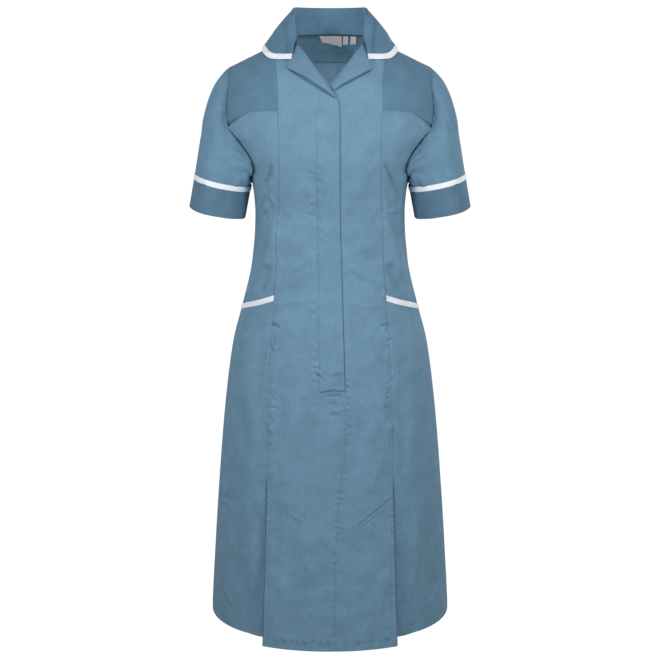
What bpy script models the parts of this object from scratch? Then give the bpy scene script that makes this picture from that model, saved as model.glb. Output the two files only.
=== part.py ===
"""Short-sleeved nurse's dress, filled out as it is worn, with nobody in it.

The cloth is a thin wall round one hollow. Every cut piece of the body lies on one shared surface: rings
from the hem up to the chest, then a rounded stretch over each shoulder. A place on that surface is an
angle round the body, in degrees from the centre line, and a rise, in millimetres from the chest line.
The seams are short tables of places seen from the front or back: across from the centre line and height.

Lengths are in millimetres here and become metres when a mesh is made. Heights count from the side hem.
The origin is midway between the neck ends of the two shoulder seams. The front faces -Y, and the
wearer's right is at -X. The right front laps over the left one.
"""

import math

import bpy
import numpy as np

MM = 0.001
ORIGIN_HEIGHT = 1088

# Wall thicknesses, the gap between neighbours at a seam and the gap between layers.
CLOTH = 1.2
BINDING = 0.7
LABEL = 0.5
SEAM_GAP = 0.4
LAYER_GAP = 0.5

# The rings of the body, a row for each girth line.
GIRTH_COLUMNS = ("height", "half_width", "front_depth", "back_depth")
GIRTHS = np.array((
    (-20, 229.0, 177, 161),
    (0, 228.5, 176, 160),
    (130, 220.5, 168, 154),
    (270, 210.0, 159, 147),
    (410, 197.0, 148, 138),
    (530, 180.5, 134, 127),
    (606, 160.6, 122, 113),
    (682, 143.5, 112, 98),
    (771, 136.5, 108, 88),
    (800, 138.0, 112, 89),
    (845, 146.0, 121, 95),
    (885, 163.0, 126, 101),
    (930, 190.0, 124, 104),
    (960, 190.0, 124, 105),
    (990, 190.0, 124, 105),
), float)
SQUARENESS = 2.1

# The front and back faces of the body. Above each face's chest line the rise runs to RIDGE on the
# shoulder seam. A seam that ends on it has a last place at the height SHOULDER, which is above it.
FRONT = 0
BACK = 1
CHEST = (930, 960)
RIDGE = 160
SHOULDER = 1200
RIDGE_EASE = 0.4
SHOULDER_LINE = ((-183, 1031), (-60, 1088), (0, 1108), (60, 1088), (183, 1031))

# The soft swell of the bust: where it is highest, how far out and how widely it spreads.
BUST_ACROSS = 88
BUST_HEIGHT = 880
BUST_OUT = 6
BUST_SPREAD = (45, 55)

# Seams and edges, as (across, height). Those of a mirrored pair are given for the wearer's left.
CENTRE_HEM = -8
SIDE_HEM = 0
ARMPIT = 845
YOKE_OUT = 932
YOKE_IN = 965
BACK_YOKE_OUT = 985
PRINCESS_FRONT = (
    (116, CENTRE_HEM), (116, 140), (115, 296), (112, 452), (106.3, 559), (100.7, 630), (95.6, 720),
    (92.3, 783), (89.8, 854), (91.3, YOKE_IN), (92.6, 1015), (95.7, 1048), (97, SHOULDER),
)
CENTRE_SEAM = (
    (9, CENTRE_HEM), (9.2, 84), (10, 165), (13.2, 213), (18, 282), (27, 350), (28.2, 403), (26.5, 466),
)
FLY_EDGE = ((21.6, 632), (17, 810), (16.5, 950), (16, 972), (13, 985))
RIGHT_ROLL = ((-1, 1009), (-30, 1045), (-58.5, 1079), (-60, SHOULDER))
UNDERLAP_EDGE = ((-14, 484), (-19, 632), (-21, 810), (-21, 950), (-19, 976), (-12, 994))
LEFT_ROLL = ((-1, 1009), (30, 1045), (58.5, 1079), (60, SHOULDER))
UNDERLAP_FOOT = (440, 466)
UNDERLAP_REACH = (2.5, 16)
FRONT_LEVELS = (
    CENTRE_HEM, 60, 120, 180, 240, 300, 360, 416, 466, 522,
    578, 633.6, 680, 725, 770, 812, 853, 893, 930, YOKE_IN,
)
FRONT_COLUMNS = 7
YOKE_ROWS = 7
FRONT_YOKE_SEAM = ((91.3, YOKE_IN), (118, 964), (139, 961), (162, 947), (181.5, YOKE_OUT))
ARMHOLE_FRONT = (
    (146, ARMPIT), (141, 848), (136.5, 855), (136, 862), (139, 871), (152, 891), (168, 912),
    (181.5, YOKE_OUT), (184.4, 953), (183.4, 979), (181, 1003), (182.7, SHOULDER),
)
ARMHOLE_BACK = (
    (146, ARMPIT), (142, 848), (139.5, 856), (141, 868), (150, 890), (163, 912), (173, 938),
    (177, 965), (178.5, BACK_YOKE_OUT), (179.5, 1008), (182.7, SHOULDER),
)
ARMHOLE_ROWS = 4
ARMHOLE_STEPS = np.linspace(0, 1, ARMHOLE_ROWS + 1)
POCKET_MOUTH = ((100.8, 633.6), (129, 621), (161.6, 598))
POCKET_DEPTH = 30
BINDING_WIDTH = 9.5
PRINCESS_BACK = (
    (108, SIDE_HEM), (106, 150), (101, 300), (94, 450), (84, 606), (70, 771), (78, 900), (92, 1022),
)
BACK_YOKE_SEAM = ((0.25, 1035), (50, 1032), (92, 1022), (135, 1006), (178.5, BACK_YOKE_OUT))
BACK_LEVELS = (*np.linspace(SIDE_HEM, 606, 11), 665, 720, 771, 822, 870, 920, 970)
BACK_COLUMNS = 4
SIDE_COLUMNS = 7
PLEAT_HALF = 13
PLEAT_TOP = 1033
NECK_HEIGHT = 1088
NECK_SIDE = 60
SHOULDER_END = 182.7

# The kick pleats: the centre front panel stands away from the side panels below their top.
KICK_TOP = 300
KICK_OUT = 21
KICK_POWER = 1.3
KICK_STITCH = ((112, 274), (50, 230))
KICK_PLY = 1.0

# The section of a kick pleat, from the stitching inwards, round the fold and back behind the side
# panel: across, the layer from the front one at 0 to the back one at 1, and how far it then rises.
KICK_SECTION = (
    (112, 0, 0), (92, 0, 0), (72, 0, 0), (54, 0, 0), (50, 0.12, 0), (47, 0.5, 0),
    (50, 0.88, 0), (54, 1, 0), (72, 1, 0), (92, 1, 0), (108, 1, 0), (121, 1, 1),
)
KICK_ROWS = 7
KICK_FOOT = 1.5

# The sleeve's seam and hem rings: centre across and up, half width, half depth and tilt.
SLEEVE_COLUMNS = ("across", "height", "half_width", "half_depth", "tilt")
SLEEVE_SEAM = (195.6, 827.0, 52.0, 61, 12.5)
SLEEVE_HEM = (206.0, 772.0, 51.8, 61, 11.1)
SLEEVE_AROUND = 28
SLEEVE_RINGS = 9
SLEEVE_START = 0.8
SLEEVE_CLEAR = 1.8

# The way the sleeve sets off from the armhole on the shoulder, at the front and back, and underneath.
SHOULDER_PULL = (0.62, 0.0, -0.46)
SIDE_PULL = (0.35, 0.5, -0.5)
UNDERARM_PULL = (-0.06, 0.0, -1.0)

# The collar's left half, a row for each section from the centre back to the front end: the fold and
# the outer edge, each as (across, back, height).
COLLAR = (
    ((0, 57, 1134), (0, 73, 1071)),
    ((33, 51, 1134.5), (38, 69, 1070)),
    ((54, 33, 1135.5), (76, 54, 1069.5)),
    ((63.5, 11, 1136), (109, 27, 1067)),
    ((65, -9, 1131), (120, -2, 1066.5)),
    ((63.5, -25, 1117), (118.5, -28, 1062)),
    ((61, -36, 1101), (107, -50, 1052.5)),
    ((59.5, -41, 1092), (88, -66, 1051)),
    ((58.5, -44, 1087), (66.5, -79, 1052)),
)
COLLAR_CLOTH = 1.4
COLLAR_FOLD = 2.4
COLLAR_DROP = 1.8
COLLAR_BULGE = 3.5

# Where the neck seam runs: it is widest at WIDE, and its front ends lie END in front of the shoulders.
NECK_WIDE = 65.5
NECK_END = 44
NECK_END_IN = 1.5
NECK_END_DROP = 0.235

# Lapels, as corners on the front seen from the front: lower end, point, notch, top of the roll, and
# where the roll starts.
RIGHT_LAPEL = ((10, 986.5), (-72, 1034), (-69, 1048), (-57.5, 1076), (12, 989.5))
LEFT_LAPEL = ((6, 999.5), (73, 1033), (69, 1048), (57.5, 1076), (1.5, 1009.5))
LAPEL_CLOTH = 1.1
LAPEL_PUFF = 2.2

# Blank labels inside the back neck: from and to across, length down.
LABELS = {"neck_label": (-20, 22, 19), "size_tab_1": (24.5, 34, 15), "size_tab_2": (38, 48.5, 14)}

# Linear colours of the cloth and trimming.
COLOURS = {
    "cloth": (0.150, 0.262, 0.370),
    "binding": (0.766, 0.802, 0.870),
    "label": (0.247, 0.292, 0.344),
}


def smooth(rows, column, at):
    """A monotone cubic through one column of a table whose first column increases."""
    rows = np.asarray(rows, float)
    along = rows[:, 0]
    values = rows[:, column]
    step = np.diff(along)
    slope = np.diff(values) / step
    tangent = np.concatenate(([slope[0]], np.zeros(len(slope) - 1), [slope[-1]]))
    same_way = slope[:-1] * slope[1:] > 0
    mean = 2 * slope[:-1] * slope[1:] / np.where(same_way, slope[:-1] + slope[1:], 1)
    tangent[1:-1] = np.where(same_way, mean, 0)
    at = np.clip(np.asarray(at, float), along[0], along[-1])
    i = np.clip(np.searchsorted(along, at, side="right") - 1, 0, len(step) - 1)
    t = (at - along[i]) / step[i]
    return (
        values[i] * (1 + 2 * t) * (1 - t) ** 2
        + tangent[i] * step[i] * t * (1 - t) ** 2
        + values[i + 1] * t * t * (3 - 2 * t)
        + tangent[i + 1] * step[i] * t * t * (t - 1)
    )


def girth(name, height):
    return smooth(GIRTHS, GIRTH_COLUMNS.index(name), height)


def ramp(t):
    """0 below 0, 1 above 1 and a smooth S between."""
    t = np.clip(t, 0, 1)
    return t * t * (3 - 2 * t)


def body(face, angle, rise):
    """The body surface's points at these angles and rises, as an array of (across, back, height)."""
    angle = np.radians(np.asarray(angle, float))
    rise = np.asarray(rise, float)
    level = CHEST[face] + np.minimum(rise, 0)
    across = girth("half_width", level) * np.abs(np.sin(angle)) ** (2 / SQUARENESS) * np.sign(angle)
    depth = girth(("front_depth", "back_depth")[face], level) * np.abs(np.cos(angle)) ** (2 / SQUARENESS)
    roll = np.radians(np.clip(rise, 0, RIDGE) / RIDGE * 90)
    height = level + (smooth(SHOULDER_LINE, 1, across) - CHEST[face]) * np.sin(roll)
    if face == BACK:
        return np.stack((across, depth * np.cos(roll), height), axis=-1)
    away = ((np.abs(across) - BUST_ACROSS) / BUST_SPREAD[0]) ** 2
    away = away + ((height - BUST_HEIGHT) / BUST_SPREAD[1]) ** 2
    depth = (depth + BUST_OUT * np.exp(-away) * np.abs(np.cos(angle)) ** 0.5) * np.cos(roll)
    return np.stack((across, -depth, height), axis=-1)


def place(face, across, height):
    """The angle and rise of the surface point seen at this place from the front or back."""
    chest = CHEST[face]
    if height <= chest:
        rise = height - chest
    else:
        share = (height - chest) / (float(smooth(SHOULDER_LINE, 1, across)) - chest)
        rise = min(math.degrees(math.asin(min(share, 1))) / 90 * RIDGE, RIDGE - RIDGE_EASE)
    share = abs(across) / float(girth("half_width", min(height, chest)))
    return math.copysign(math.degrees(math.asin(min(share, 1) ** (SQUARENESS / 2))), across), rise


def line(face, places):
    """A function from 0 to 1 along a seam to its angle and rise, at an even pace over the surface."""
    points = [place(face, *p) for p in places]
    angle, rise = np.array(points).T
    steps = np.linalg.norm(np.diff(body(face, angle, rise), axis=0), axis=1)
    along = np.concatenate(([0], np.cumsum(steps)))
    rows = np.stack((along / along[-1], angle, rise), axis=1)
    return lambda t: np.stack((smooth(rows, 1, t), smooth(rows, 2, t)), axis=-1)


def patch(face, near, far, low, high):
    """A grid of surface points between four borders, each an array of (angle, rise)."""
    s = np.linspace(0, 1, len(low))[None, :, None]
    t = np.linspace(0, 1, len(near))[:, None, None]
    low_line = (1 - s) * low[0] + s * low[-1]
    high_line = (1 - s) * high[0] + s * high[-1]
    places = (1 - s) * near[:, None] + s * far[:, None]
    places = places + (1 - t) * (low[None] - low_line) + t * (high[None] - high_line)
    return body(face, places[..., 0], places[..., 1])


def evenly(start, end, count):
    """A straight border between two places given as (angle, rise)."""
    return np.linspace(start, end, count + 1)


def at_levels(face, across, levels):
    """A border with a place at each of these heights; across is a function of the height."""
    return np.array([place(face, float(across(h)), h) for h in levels])


def normals(grid, closed=False):
    """The unit normal at each grid point, on the side that its faces point to."""
    if closed:
        along = np.roll(grid, -1, axis=1) - np.roll(grid, 1, axis=1)
    else:
        along = np.gradient(grid, axis=1)
    up = np.gradient(grid, axis=0)
    normal = np.cross(along, up)
    return normal / np.linalg.norm(normal, axis=-1, keepdims=True)


def faced_out(grid, centre=(0, 0)):
    """The grid with its columns turned round where its faces would point at the hollow."""
    away = grid * (1, 1, 0) - (*centre, 0)
    return grid if (normals(grid) * away).sum() > 0 else grid[:, ::-1]


def moved(grid, distance, closed=False):
    return grid + normals(grid, closed) * np.asarray(distance, float)[..., None]


def eased(grid, closed=False):
    """The grid drawn in by half a seam gap along its borders."""
    def towards(border, inner):
        away = inner - border
        return away / np.linalg.norm(away, axis=-1, keepdims=True) * SEAM_GAP / 2

    drawn = grid.copy()
    drawn[0] += towards(grid[0], grid[1])
    drawn[-1] += towards(grid[-1], grid[-2])
    if not closed:
        drawn[:, 0] += towards(grid[:, 0], grid[:, 1])
        drawn[:, -1] += towards(grid[:, -1], grid[:, -2])
    return drawn


def mirrored(grid):
    return grid * (-1, 1, 1)


def new_collection(name):
    collection = bpy.data.collections.new(name)
    bpy.context.scene.collection.children.link(collection)
    return collection


def new_material(name, roughness):
    material = bpy.data.materials.new(name)
    material.use_nodes = True
    shader = material.node_tree.nodes["Principled BSDF"]
    shader.inputs["Base Color"].default_value = (*COLOURS[name], 1)
    shader.inputs["Roughness"].default_value = roughness
    material.diffuse_color = (*COLOURS[name], 1)
    return material


def cloth(name, grid, material="cloth", thickness=CLOTH, closed=False):
    """A piece of cloth: the grid as its outer face and a wall behind it."""
    rows, columns = grid.shape[:2]
    last = columns if closed else columns - 1
    index = np.arange(rows * columns).reshape(rows, columns)
    ahead = np.roll(index, -1, axis=1)
    corners = (index[:-1], ahead[:-1], ahead[1:], index[1:])
    faces = np.stack([corner[:, :last] for corner in corners], axis=-1).reshape(-1, 4).tolist()
    points = (grid.reshape(-1, 3) - (0, 0, ORIGIN_HEIGHT)) * MM
    mesh = bpy.data.meshes.new(name)
    mesh.from_pydata(points.tolist(), [], faces)
    mesh.shade_smooth()
    mesh.materials.append(MATERIALS[material])
    piece = bpy.data.objects.new(name, mesh)
    piece.parent = DRESS
    PIECES.objects.link(piece)
    wall = piece.modifiers.new("wall", "SOLIDIFY")
    wall.thickness = thickness * MM
    wall.offset = -1
    return piece


def pair(name, grid, **options):
    """The wearer's left piece from this grid, and the right one as its mirror image."""
    for side, made in (("left", grid), ("right", mirrored(grid))):
        cloth(f"{name}_{side}", faced_out(made), **options)


# The fronts

def kick_lift(height):
    """How far the centre front panel stands out from the side panels."""
    return KICK_OUT * np.clip((KICK_TOP - height) / KICK_TOP, 0, 1.1) ** KICK_POWER


def right_front_edge(height):
    """Where the right front's free edge lies across, at this height."""
    rows = [(h, x) for x, h in CENTRE_SEAM + FLY_EDGE + RIGHT_ROLL[:-1]]
    return smooth(rows, 1, height)


def underlap_sink(grid):
    """How deep the left front lies under the right one."""
    full, reach = UNDERLAP_REACH
    foot, top = UNDERLAP_FOOT
    height = grid[..., 2]
    inside = ramp((right_front_edge(height) + reach - grid[..., 0]) / (reach - full))
    return -(CLOTH + LAYER_GAP + 0.9) * inside * ramp((height - foot) / (top - foot))


def princess(height):
    """How far across the front princess seam lies at this height, up to the yoke."""
    return smooth([(h, x) for x, h in PRINCESS_FRONT if h < SHOULDER], 1, height)


def princess_yoke():
    """The princess seam along the yoke, up to the shoulder seam."""
    return line(FRONT, [p for p in PRINCESS_FRONT if p[1] >= YOKE_IN])(np.linspace(0, 1, YOKE_ROWS + 1))


def build_fronts():
    """The two centre fronts, from the hem to the shoulder seams."""
    outer = np.vstack((at_levels(FRONT, princess, FRONT_LEVELS), princess_yoke()[1:]))
    edges = {
        "front_right": CENTRE_SEAM + FLY_EDGE + RIGHT_ROLL,
        "front_left": CENTRE_SEAM + UNDERLAP_EDGE + LEFT_ROLL,
    }
    for name, edge in edges.items():
        rows = [(h, x) for x, h in edge]
        low = at_levels(FRONT, lambda h: smooth(rows, 1, h), FRONT_LEVELS)
        start = (float(smooth(rows, 1, YOKE_IN)), YOKE_IN)
        high = line(FRONT, [start, *[p for p in edge if p[1] > YOKE_IN]])(np.linspace(0, 1, YOKE_ROWS + 1))
        inner = np.vstack((low, high[1:]))
        side = outer * (-1, 1) if name == "front_right" else outer
        hem = evenly(side[0], inner[0], FRONT_COLUMNS)
        shoulder = evenly(side[-1], inner[-1], FRONT_COLUMNS)
        grid = faced_out(patch(FRONT, side, inner, hem, shoulder))
        lift = kick_lift(grid[..., 2])
        if name == "front_left":
            lift = lift + underlap_sink(grid)
        cloth(name, eased(moved(grid, lift)))


def build_lapels():
    """Each front's top edge turned back, from the break up to the collar's end."""
    columns = np.linspace(0, 1, 6)
    rows = np.linspace(0, 1, 8)
    for name, (low, point, notch, top, start) in (("lapel_right", RIGHT_LAPEL), ("lapel_left", LEFT_LAPEL)):
        roll = RIGHT_ROLL if name == "lapel_right" else LEFT_ROLL
        grid = patch(
            FRONT,
            line(FRONT, (low, point))(rows),
            line(FRONT, (start, roll[1], top))(rows),
            line(FRONT, (low, start))(columns),
            line(FRONT, (point, notch, top))(columns),
        )
        across = columns[None]
        if (normals(grid) * (grid * (1, 1, 0))).sum() < 0:
            grid = grid[:, ::-1]
            across = across[:, ::-1]
        puff = LAPEL_PUFF * np.sin(np.pi * across) * np.sqrt(1 - rows[:, None] * 0.98)
        cloth(name, moved(grid, CLOTH + LAYER_GAP + 0.2 + puff), thickness=LAPEL_CLOTH)


def build_front_yokes():
    """The shoulder yokes, between the princess seam and the armhole."""
    armhole = line(FRONT, [p for p in ARMHOLE_FRONT if p[1] >= YOKE_OUT])(np.linspace(0, 1, YOKE_ROWS + 1))
    near = princess_yoke()
    seam = line(FRONT, FRONT_YOKE_SEAM)(np.linspace(0, 1, SIDE_COLUMNS + 1))
    grid = patch(FRONT, near, armhole, seam, evenly(near[-1], armhole[-1], SIDE_COLUMNS))
    pair("front_yoke", eased(faced_out(grid)))


def pocket_mouth(columns, drop=0):
    """The slanting mouth of the hip pocket, or a line that far below it."""
    (in_x, in_h), (middle_x, middle_h), (out_x, out_h) = POCKET_MOUTH
    places = (
        (float(princess(in_h - drop)), in_h - drop),
        (middle_x + drop * 0.2, middle_h - drop),
        (float(girth("half_width", out_h - drop)) + 1, out_h - drop),
    )
    return line(FRONT, places)(np.linspace(0, 1, columns + 1))


def side_seam(face, low, high, count):
    """The side seam between two heights."""
    return at_levels(face, lambda h: girth("half_width", h) + 1, np.linspace(low, high, count + 1))


def build_side_fronts():
    """The side fronts above and below the pocket mouth, and the binding along it."""
    mouth_in = POCKET_MOUTH[0][1]
    mouth_out = POCKET_MOUTH[-1][1]
    levels = [mouth_in - POCKET_DEPTH, *[h for h in FRONT_LEVELS if mouth_in <= h]]
    near = at_levels(FRONT, princess, levels)
    armhole = line(FRONT, [p for p in ARMHOLE_FRONT if p[1] <= YOKE_OUT])(ARMHOLE_STEPS)
    far = side_seam(FRONT, mouth_out - POCKET_DEPTH, ARMPIT, len(levels) - 1 - ARMHOLE_ROWS)
    far = np.vstack((far, armhole[1:]))
    seam = line(FRONT, FRONT_YOKE_SEAM)(np.linspace(0, 1, SIDE_COLUMNS + 1))
    grid = faced_out(patch(FRONT, near, far, pocket_mouth(SIDE_COLUMNS, POCKET_DEPTH), seam))
    slope = (mouth_in - mouth_out) / (POCKET_MOUTH[-1][0] - POCKET_MOUTH[0][0])
    above = grid[..., 2] - (mouth_in - (grid[..., 0] - POCKET_MOUTH[0][0]) * slope)
    sink = (CLOTH + LAYER_GAP + 1.1) * ramp((POCKET_DEPTH - above) / 20)
    pair("side_front_upper", eased(moved(grid, -sink)))

    levels = [SIDE_HEM, *[h for h in FRONT_LEVELS if SIDE_HEM < h < mouth_in]]
    levels += [mouth_in - BINDING_WIDTH, mouth_in]
    near = at_levels(FRONT, princess, levels)
    far = side_seam(FRONT, SIDE_HEM, mouth_out - BINDING_WIDTH, len(levels) - 2)
    far = np.vstack((far, side_seam(FRONT, mouth_out, mouth_out, 0)))
    grid = patch(FRONT, near, far, evenly(near[0], far[0], SIDE_COLUMNS), pocket_mouth(SIDE_COLUMNS))
    grid = faced_out(grid)
    down = grid[-2] - grid[-1]
    down = down / np.linalg.norm(down, axis=-1, keepdims=True)
    grid[-2] = grid[-1] + down * BINDING_WIDTH
    grid = eased(grid)
    pair("side_front_lower", grid)
    tape = moved(grid, np.full(grid.shape[:2], BINDING + LAYER_GAP - 0.1))[-2:]
    tape[1] -= down * 0.8
    pair("pocket_binding", tape, material="binding", thickness=BINDING)


def build_kick_pleats():
    """The cloth folded away behind the centre front, from the hem to the slanting stitching."""
    (out_x, out_h), (in_x, in_h) = KICK_STITCH
    across, layer, lifted = np.array(KICK_SECTION, float).T
    top = in_h + (np.clip(across, in_x, out_x) - in_x) * (out_h - in_h) / (out_x - in_x) - 2
    height = KICK_FOOT + np.linspace(0, 1, KICK_ROWS + 1)[:, None] * (top - KICK_FOOT)[None]
    width = girth("half_width", height)
    angle = np.degrees(np.arcsin((across / width) ** (SQUARENESS / 2)))
    base = body(FRONT, angle, height - CHEST[FRONT])
    outward = base * (0.35, 1, 0)
    outward = outward / np.linalg.norm(outward, axis=-1, keepdims=True)
    near = kick_lift(height) - CLOTH - LAYER_GAP - 0.1
    far = -CLOTH - KICK_PLY - LAYER_GAP - 1.8 + 1.3 * lifted
    grid = base + outward * (near * (1 - layer) + far * layer)[..., None]
    if (normals(grid) * outward)[:, :3].sum() < 0:
        grid = grid[:, ::-1]
    cloth("kick_pleat_left", grid, thickness=KICK_PLY)
    cloth("kick_pleat_right", mirrored(grid)[:, ::-1], thickness=KICK_PLY)


# The back

def back_yoke_seam():
    """The left half of the back yoke seam, in two parts that meet at the princess seam."""
    inner = line(BACK, BACK_YOKE_SEAM[:3])(np.linspace(0, 1, BACK_COLUMNS + 1))
    outer = line(BACK, BACK_YOKE_SEAM[2:])(np.linspace(0, 1, SIDE_COLUMNS + 1))
    return inner, outer


def neck_rise(across):
    """The rise of the neck edge on the back yoke, or of the shoulder seam outside it."""
    return place(BACK, across, NECK_HEIGHT)[1] if abs(across) < NECK_SIDE else RIDGE


def build_back_yoke():
    """One piece across both shoulders, from the neck seam and shoulder seams down to the yoke seam."""
    inner, outer = back_yoke_seam()
    low = np.vstack((inner, outer[1:]))
    neck = np.linspace(0.25, NECK_SIDE, BACK_COLUMNS)
    top = [*neck, *np.linspace(NECK_SIDE, SHOULDER_END, SIDE_COLUMNS + 2)[1:]]
    high = np.array([(place(BACK, x, CHEST[BACK])[0], neck_rise(x)) for x in top])
    low = np.vstack(((low * (-1, 1))[::-1], low[1:]))
    high = np.vstack(((high * (-1, 1))[::-1], high[1:]))
    low[len(low) // 2, 0] = 0
    high[len(high) // 2, 0] = 0
    armhole = line(BACK, [p for p in ARMHOLE_BACK if p[1] >= BACK_YOKE_OUT])(np.linspace(0, 1, 6))
    grid = patch(BACK, armhole * (-1, 1), armhole, low, high)
    cloth("back_yoke", eased(faced_out(grid)))


def build_backs():
    """The centre backs with their pleat, and the side backs, from the yoke seam to the hem."""
    rows = [(h, x) for x, h in PRINCESS_BACK]
    inner_seam, outer_seam = back_yoke_seam()
    outer = np.vstack((at_levels(BACK, lambda h: smooth(rows, 1, h), BACK_LEVELS), inner_seam[-1:]))
    middle = np.vstack((at_levels(BACK, lambda h: BACK_YOKE_SEAM[0][0], BACK_LEVELS), inner_seam[:1]))
    grid = patch(BACK, middle, outer, evenly(middle[0], outer[0], BACK_COLUMNS), inner_seam)
    pair("back", eased(faced_out(grid)))

    edge = at_levels(BACK, lambda h: PLEAT_HALF, [*BACK_LEVELS, PLEAT_TOP])
    other = edge * (-1, 1)
    strip = patch(BACK, other, edge, evenly(other[0], edge[0], 2), evenly(other[-1], edge[-1], 2))
    strip = faced_out(strip)
    behind = np.full(strip.shape[:2], -CLOTH - LAYER_GAP - 0.6)
    cloth("back_pleat", eased(moved(strip, behind)), thickness=KICK_PLY)

    armhole = line(BACK, [p for p in ARMHOLE_BACK if p[1] <= BACK_YOKE_OUT])(ARMHOLE_STEPS)
    side = side_seam(BACK, SIDE_HEM, ARMPIT, len(BACK_LEVELS) - ARMHOLE_ROWS)
    side = np.vstack((side, armhole[1:]))
    grid = patch(BACK, outer, side, evenly(outer[0], side[0], SIDE_COLUMNS), outer_seam)
    pair("side_back", eased(faced_out(grid)))


# The sleeves

def ring(numbers, around):
    """A ring round the sleeve at these angles: 0 on the outside, 90 in front, 180 under the arm."""
    size = dict(zip(SLEEVE_COLUMNS, numbers))
    tilt = math.radians(size["tilt"])
    wide = size["half_width"] * np.cos(around)
    return np.stack((
        size["across"] + wide * math.cos(tilt),
        -size["half_depth"] * np.sin(around),
        size["height"] + wide * math.sin(tilt),
    ), axis=-1)


def armhole_ring(around):
    """The armhole seam at the same angles."""
    front = line(FRONT, ARMHOLE_FRONT)
    back = line(BACK, ARMHOLE_BACK)
    turn = np.degrees(around) % 360
    points = []
    for angle in turn:
        if angle <= 180:
            points.append(body(FRONT, *front(1 - angle / 180)))
        else:
            points.append(body(BACK, *back(angle / 180 - 1)))
    return np.array(points)


def build_sleeves():
    """The set-in sleeves, the cuffs and the binding over the seam between them."""
    around = np.linspace(0, 2 * math.pi, SLEEVE_AROUND, endpoint=False)
    start = armhole_ring(around)
    end = ring(SLEEVE_SEAM, around)
    axis = np.array((SLEEVE_HEM[0] - SLEEVE_SEAM[0], 0, SLEEVE_HEM[1] - SLEEVE_SEAM[1]))
    axis = axis / np.linalg.norm(axis)
    length = np.linalg.norm(end - start, axis=1)[:, None]
    outside = ((1 + np.cos(around)) / 2)[:, None]
    forward = np.stack((np.ones_like(around), -np.sign(np.sin(around)), np.ones_like(around)), axis=1)
    pull = (
        outside**2 * np.array(SHOULDER_PULL)
        + 2 * outside * (1 - outside) * np.array(SIDE_PULL) * forward
        + (1 - outside) ** 2 * np.array(UNDERARM_PULL)
    )
    start = start + pull * SLEEVE_START + np.array((SLEEVE_CLEAR, 0, 0)) * (1 - outside) ** 2
    half = BINDING_WIDTH / 2
    grid = []
    for share in (*(np.linspace(0, 1, SLEEVE_RINGS) ** 1.15), None):
        t = 1.0 if share is None else share * (1 - half / length)
        grid.append(
            start * (1 + 2 * t) * (1 - t) ** 2
            + pull * length * t * (1 - t) ** 2
            + end * t * t * (3 - 2 * t)
            + axis * length * t * t * (t - 1)
        )
    grid = np.array(grid)
    hem = ring(SLEEVE_HEM, around)
    below = end + (hem - end) * half / np.linalg.norm(hem - end, axis=1, keepdims=True)
    cuff = np.array([end, below, (below + hem) / 2, hem])
    tape = np.array([grid[-2], end, below])
    for side in (1, -1):
        name = "left" if side == 1 else "right"
        made = []
        for piece in (grid, cuff, tape):
            piece = piece * (side, 1, 1)
            outward = piece - piece.mean(axis=1, keepdims=True)
            if (normals(piece, True) * outward).sum() < 0:
                piece = piece[:, ::-1]
            made.append(piece)
        cloth(f"sleeve_{name}", eased(made[0], True), closed=True)
        cloth(f"cuff_{name}", eased(made[1], True), closed=True)
        raised = moved(made[2], np.full(made[2].shape[:2], BINDING + LAYER_GAP), True)
        cloth(f"cuff_binding_{name}", raised, "binding", BINDING, closed=True)


# The collar

def neck_edge(section):
    """Where the collar's section meets the neck seam."""
    across, back, _ = section[0]
    if back >= 0:
        return body(BACK, *place(BACK, across * NECK_SIDE / NECK_WIDE, NECK_HEIGHT))
    share = min(1, -back / NECK_END)
    angle = place(FRONT, NECK_SIDE - NECK_END_IN * share, CHEST[FRONT])[0]
    return body(FRONT, angle, RIDGE * (1 - NECK_END_DROP * share))


def refined(sections):
    """The sections with one more between each two, on a smooth curve through them."""
    count = len(sections)
    flat = sections.reshape(count, -1)
    rows = np.vstack((2 * flat[0] - flat[1], flat, 2 * flat[-1] - flat[-2]))
    made = []
    for step in np.arange(2 * count - 1) / 2:
        i = min(int(step), count - 2)
        t = step - i
        a, b, c, d = rows[i:i + 4]
        bend = (2 * a - 5 * b + 4 * c - d) * t**2 + (3 * b - a - 3 * c + d) * t**3
        made.append(0.5 * (2 * b + (c - a) * t + bend))
    return np.array(made).reshape(-1, *sections.shape[1:])


def build_collar():
    """The collar's stand, fold and fall in one wall, and the binding round the fall's edge."""
    half = []
    for section in COLLAR:
        fold = np.array(section[0], float)
        edge = np.array(section[1], float)
        seam = neck_edge(section) + (0, 0, SEAM_GAP + 0.3)
        out = (edge - fold) * (1, 1, 0)
        out = out / np.linalg.norm(out)
        drop = np.array((0, 0, COLLAR_DROP))
        inner = fold - out * COLLAR_FOLD - drop
        outer = fold + out * COLLAR_FOLD - drop
        fall = edge - outer
        length = np.linalg.norm(fall)
        bulge = np.cross(np.cross(out, (0, 0, 1.0)), fall / length)
        bulge = bulge if bulge[2] > 0 else -bulge
        shares = (0.3, 0.6, 1 - BINDING_WIDTH / length)
        points = [seam, seam + (inner - seam) * 0.5, inner, fold, outer]
        for share in shares:
            points.append(outer + fall * share + bulge * COLLAR_BULGE * math.sin(math.pi * share))
        half.append(points + [edge])
    half = refined(np.array(half))
    grid = np.concatenate((half[:0:-1] * (-1, 1, 1), half)).transpose(1, 0, 2)
    away = grid[-2] * (1, 1, 0)
    if (normals(grid)[-2] * away).sum() < 0:
        grid = grid[:, ::-1]
    cloth("collar", grid, thickness=COLLAR_CLOTH)
    tape = moved(grid, np.full(grid.shape[:2], BINDING + LAYER_GAP - 0.1))[-2:]
    down = tape[1] - tape[0]
    tape[1] += down / np.linalg.norm(down, axis=-1, keepdims=True) * 0.8
    tape = np.array((tape[0], (tape[0] + tape[1]) / 2, tape[1]))
    cloth("collar_binding", tape, "binding", BINDING)


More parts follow.
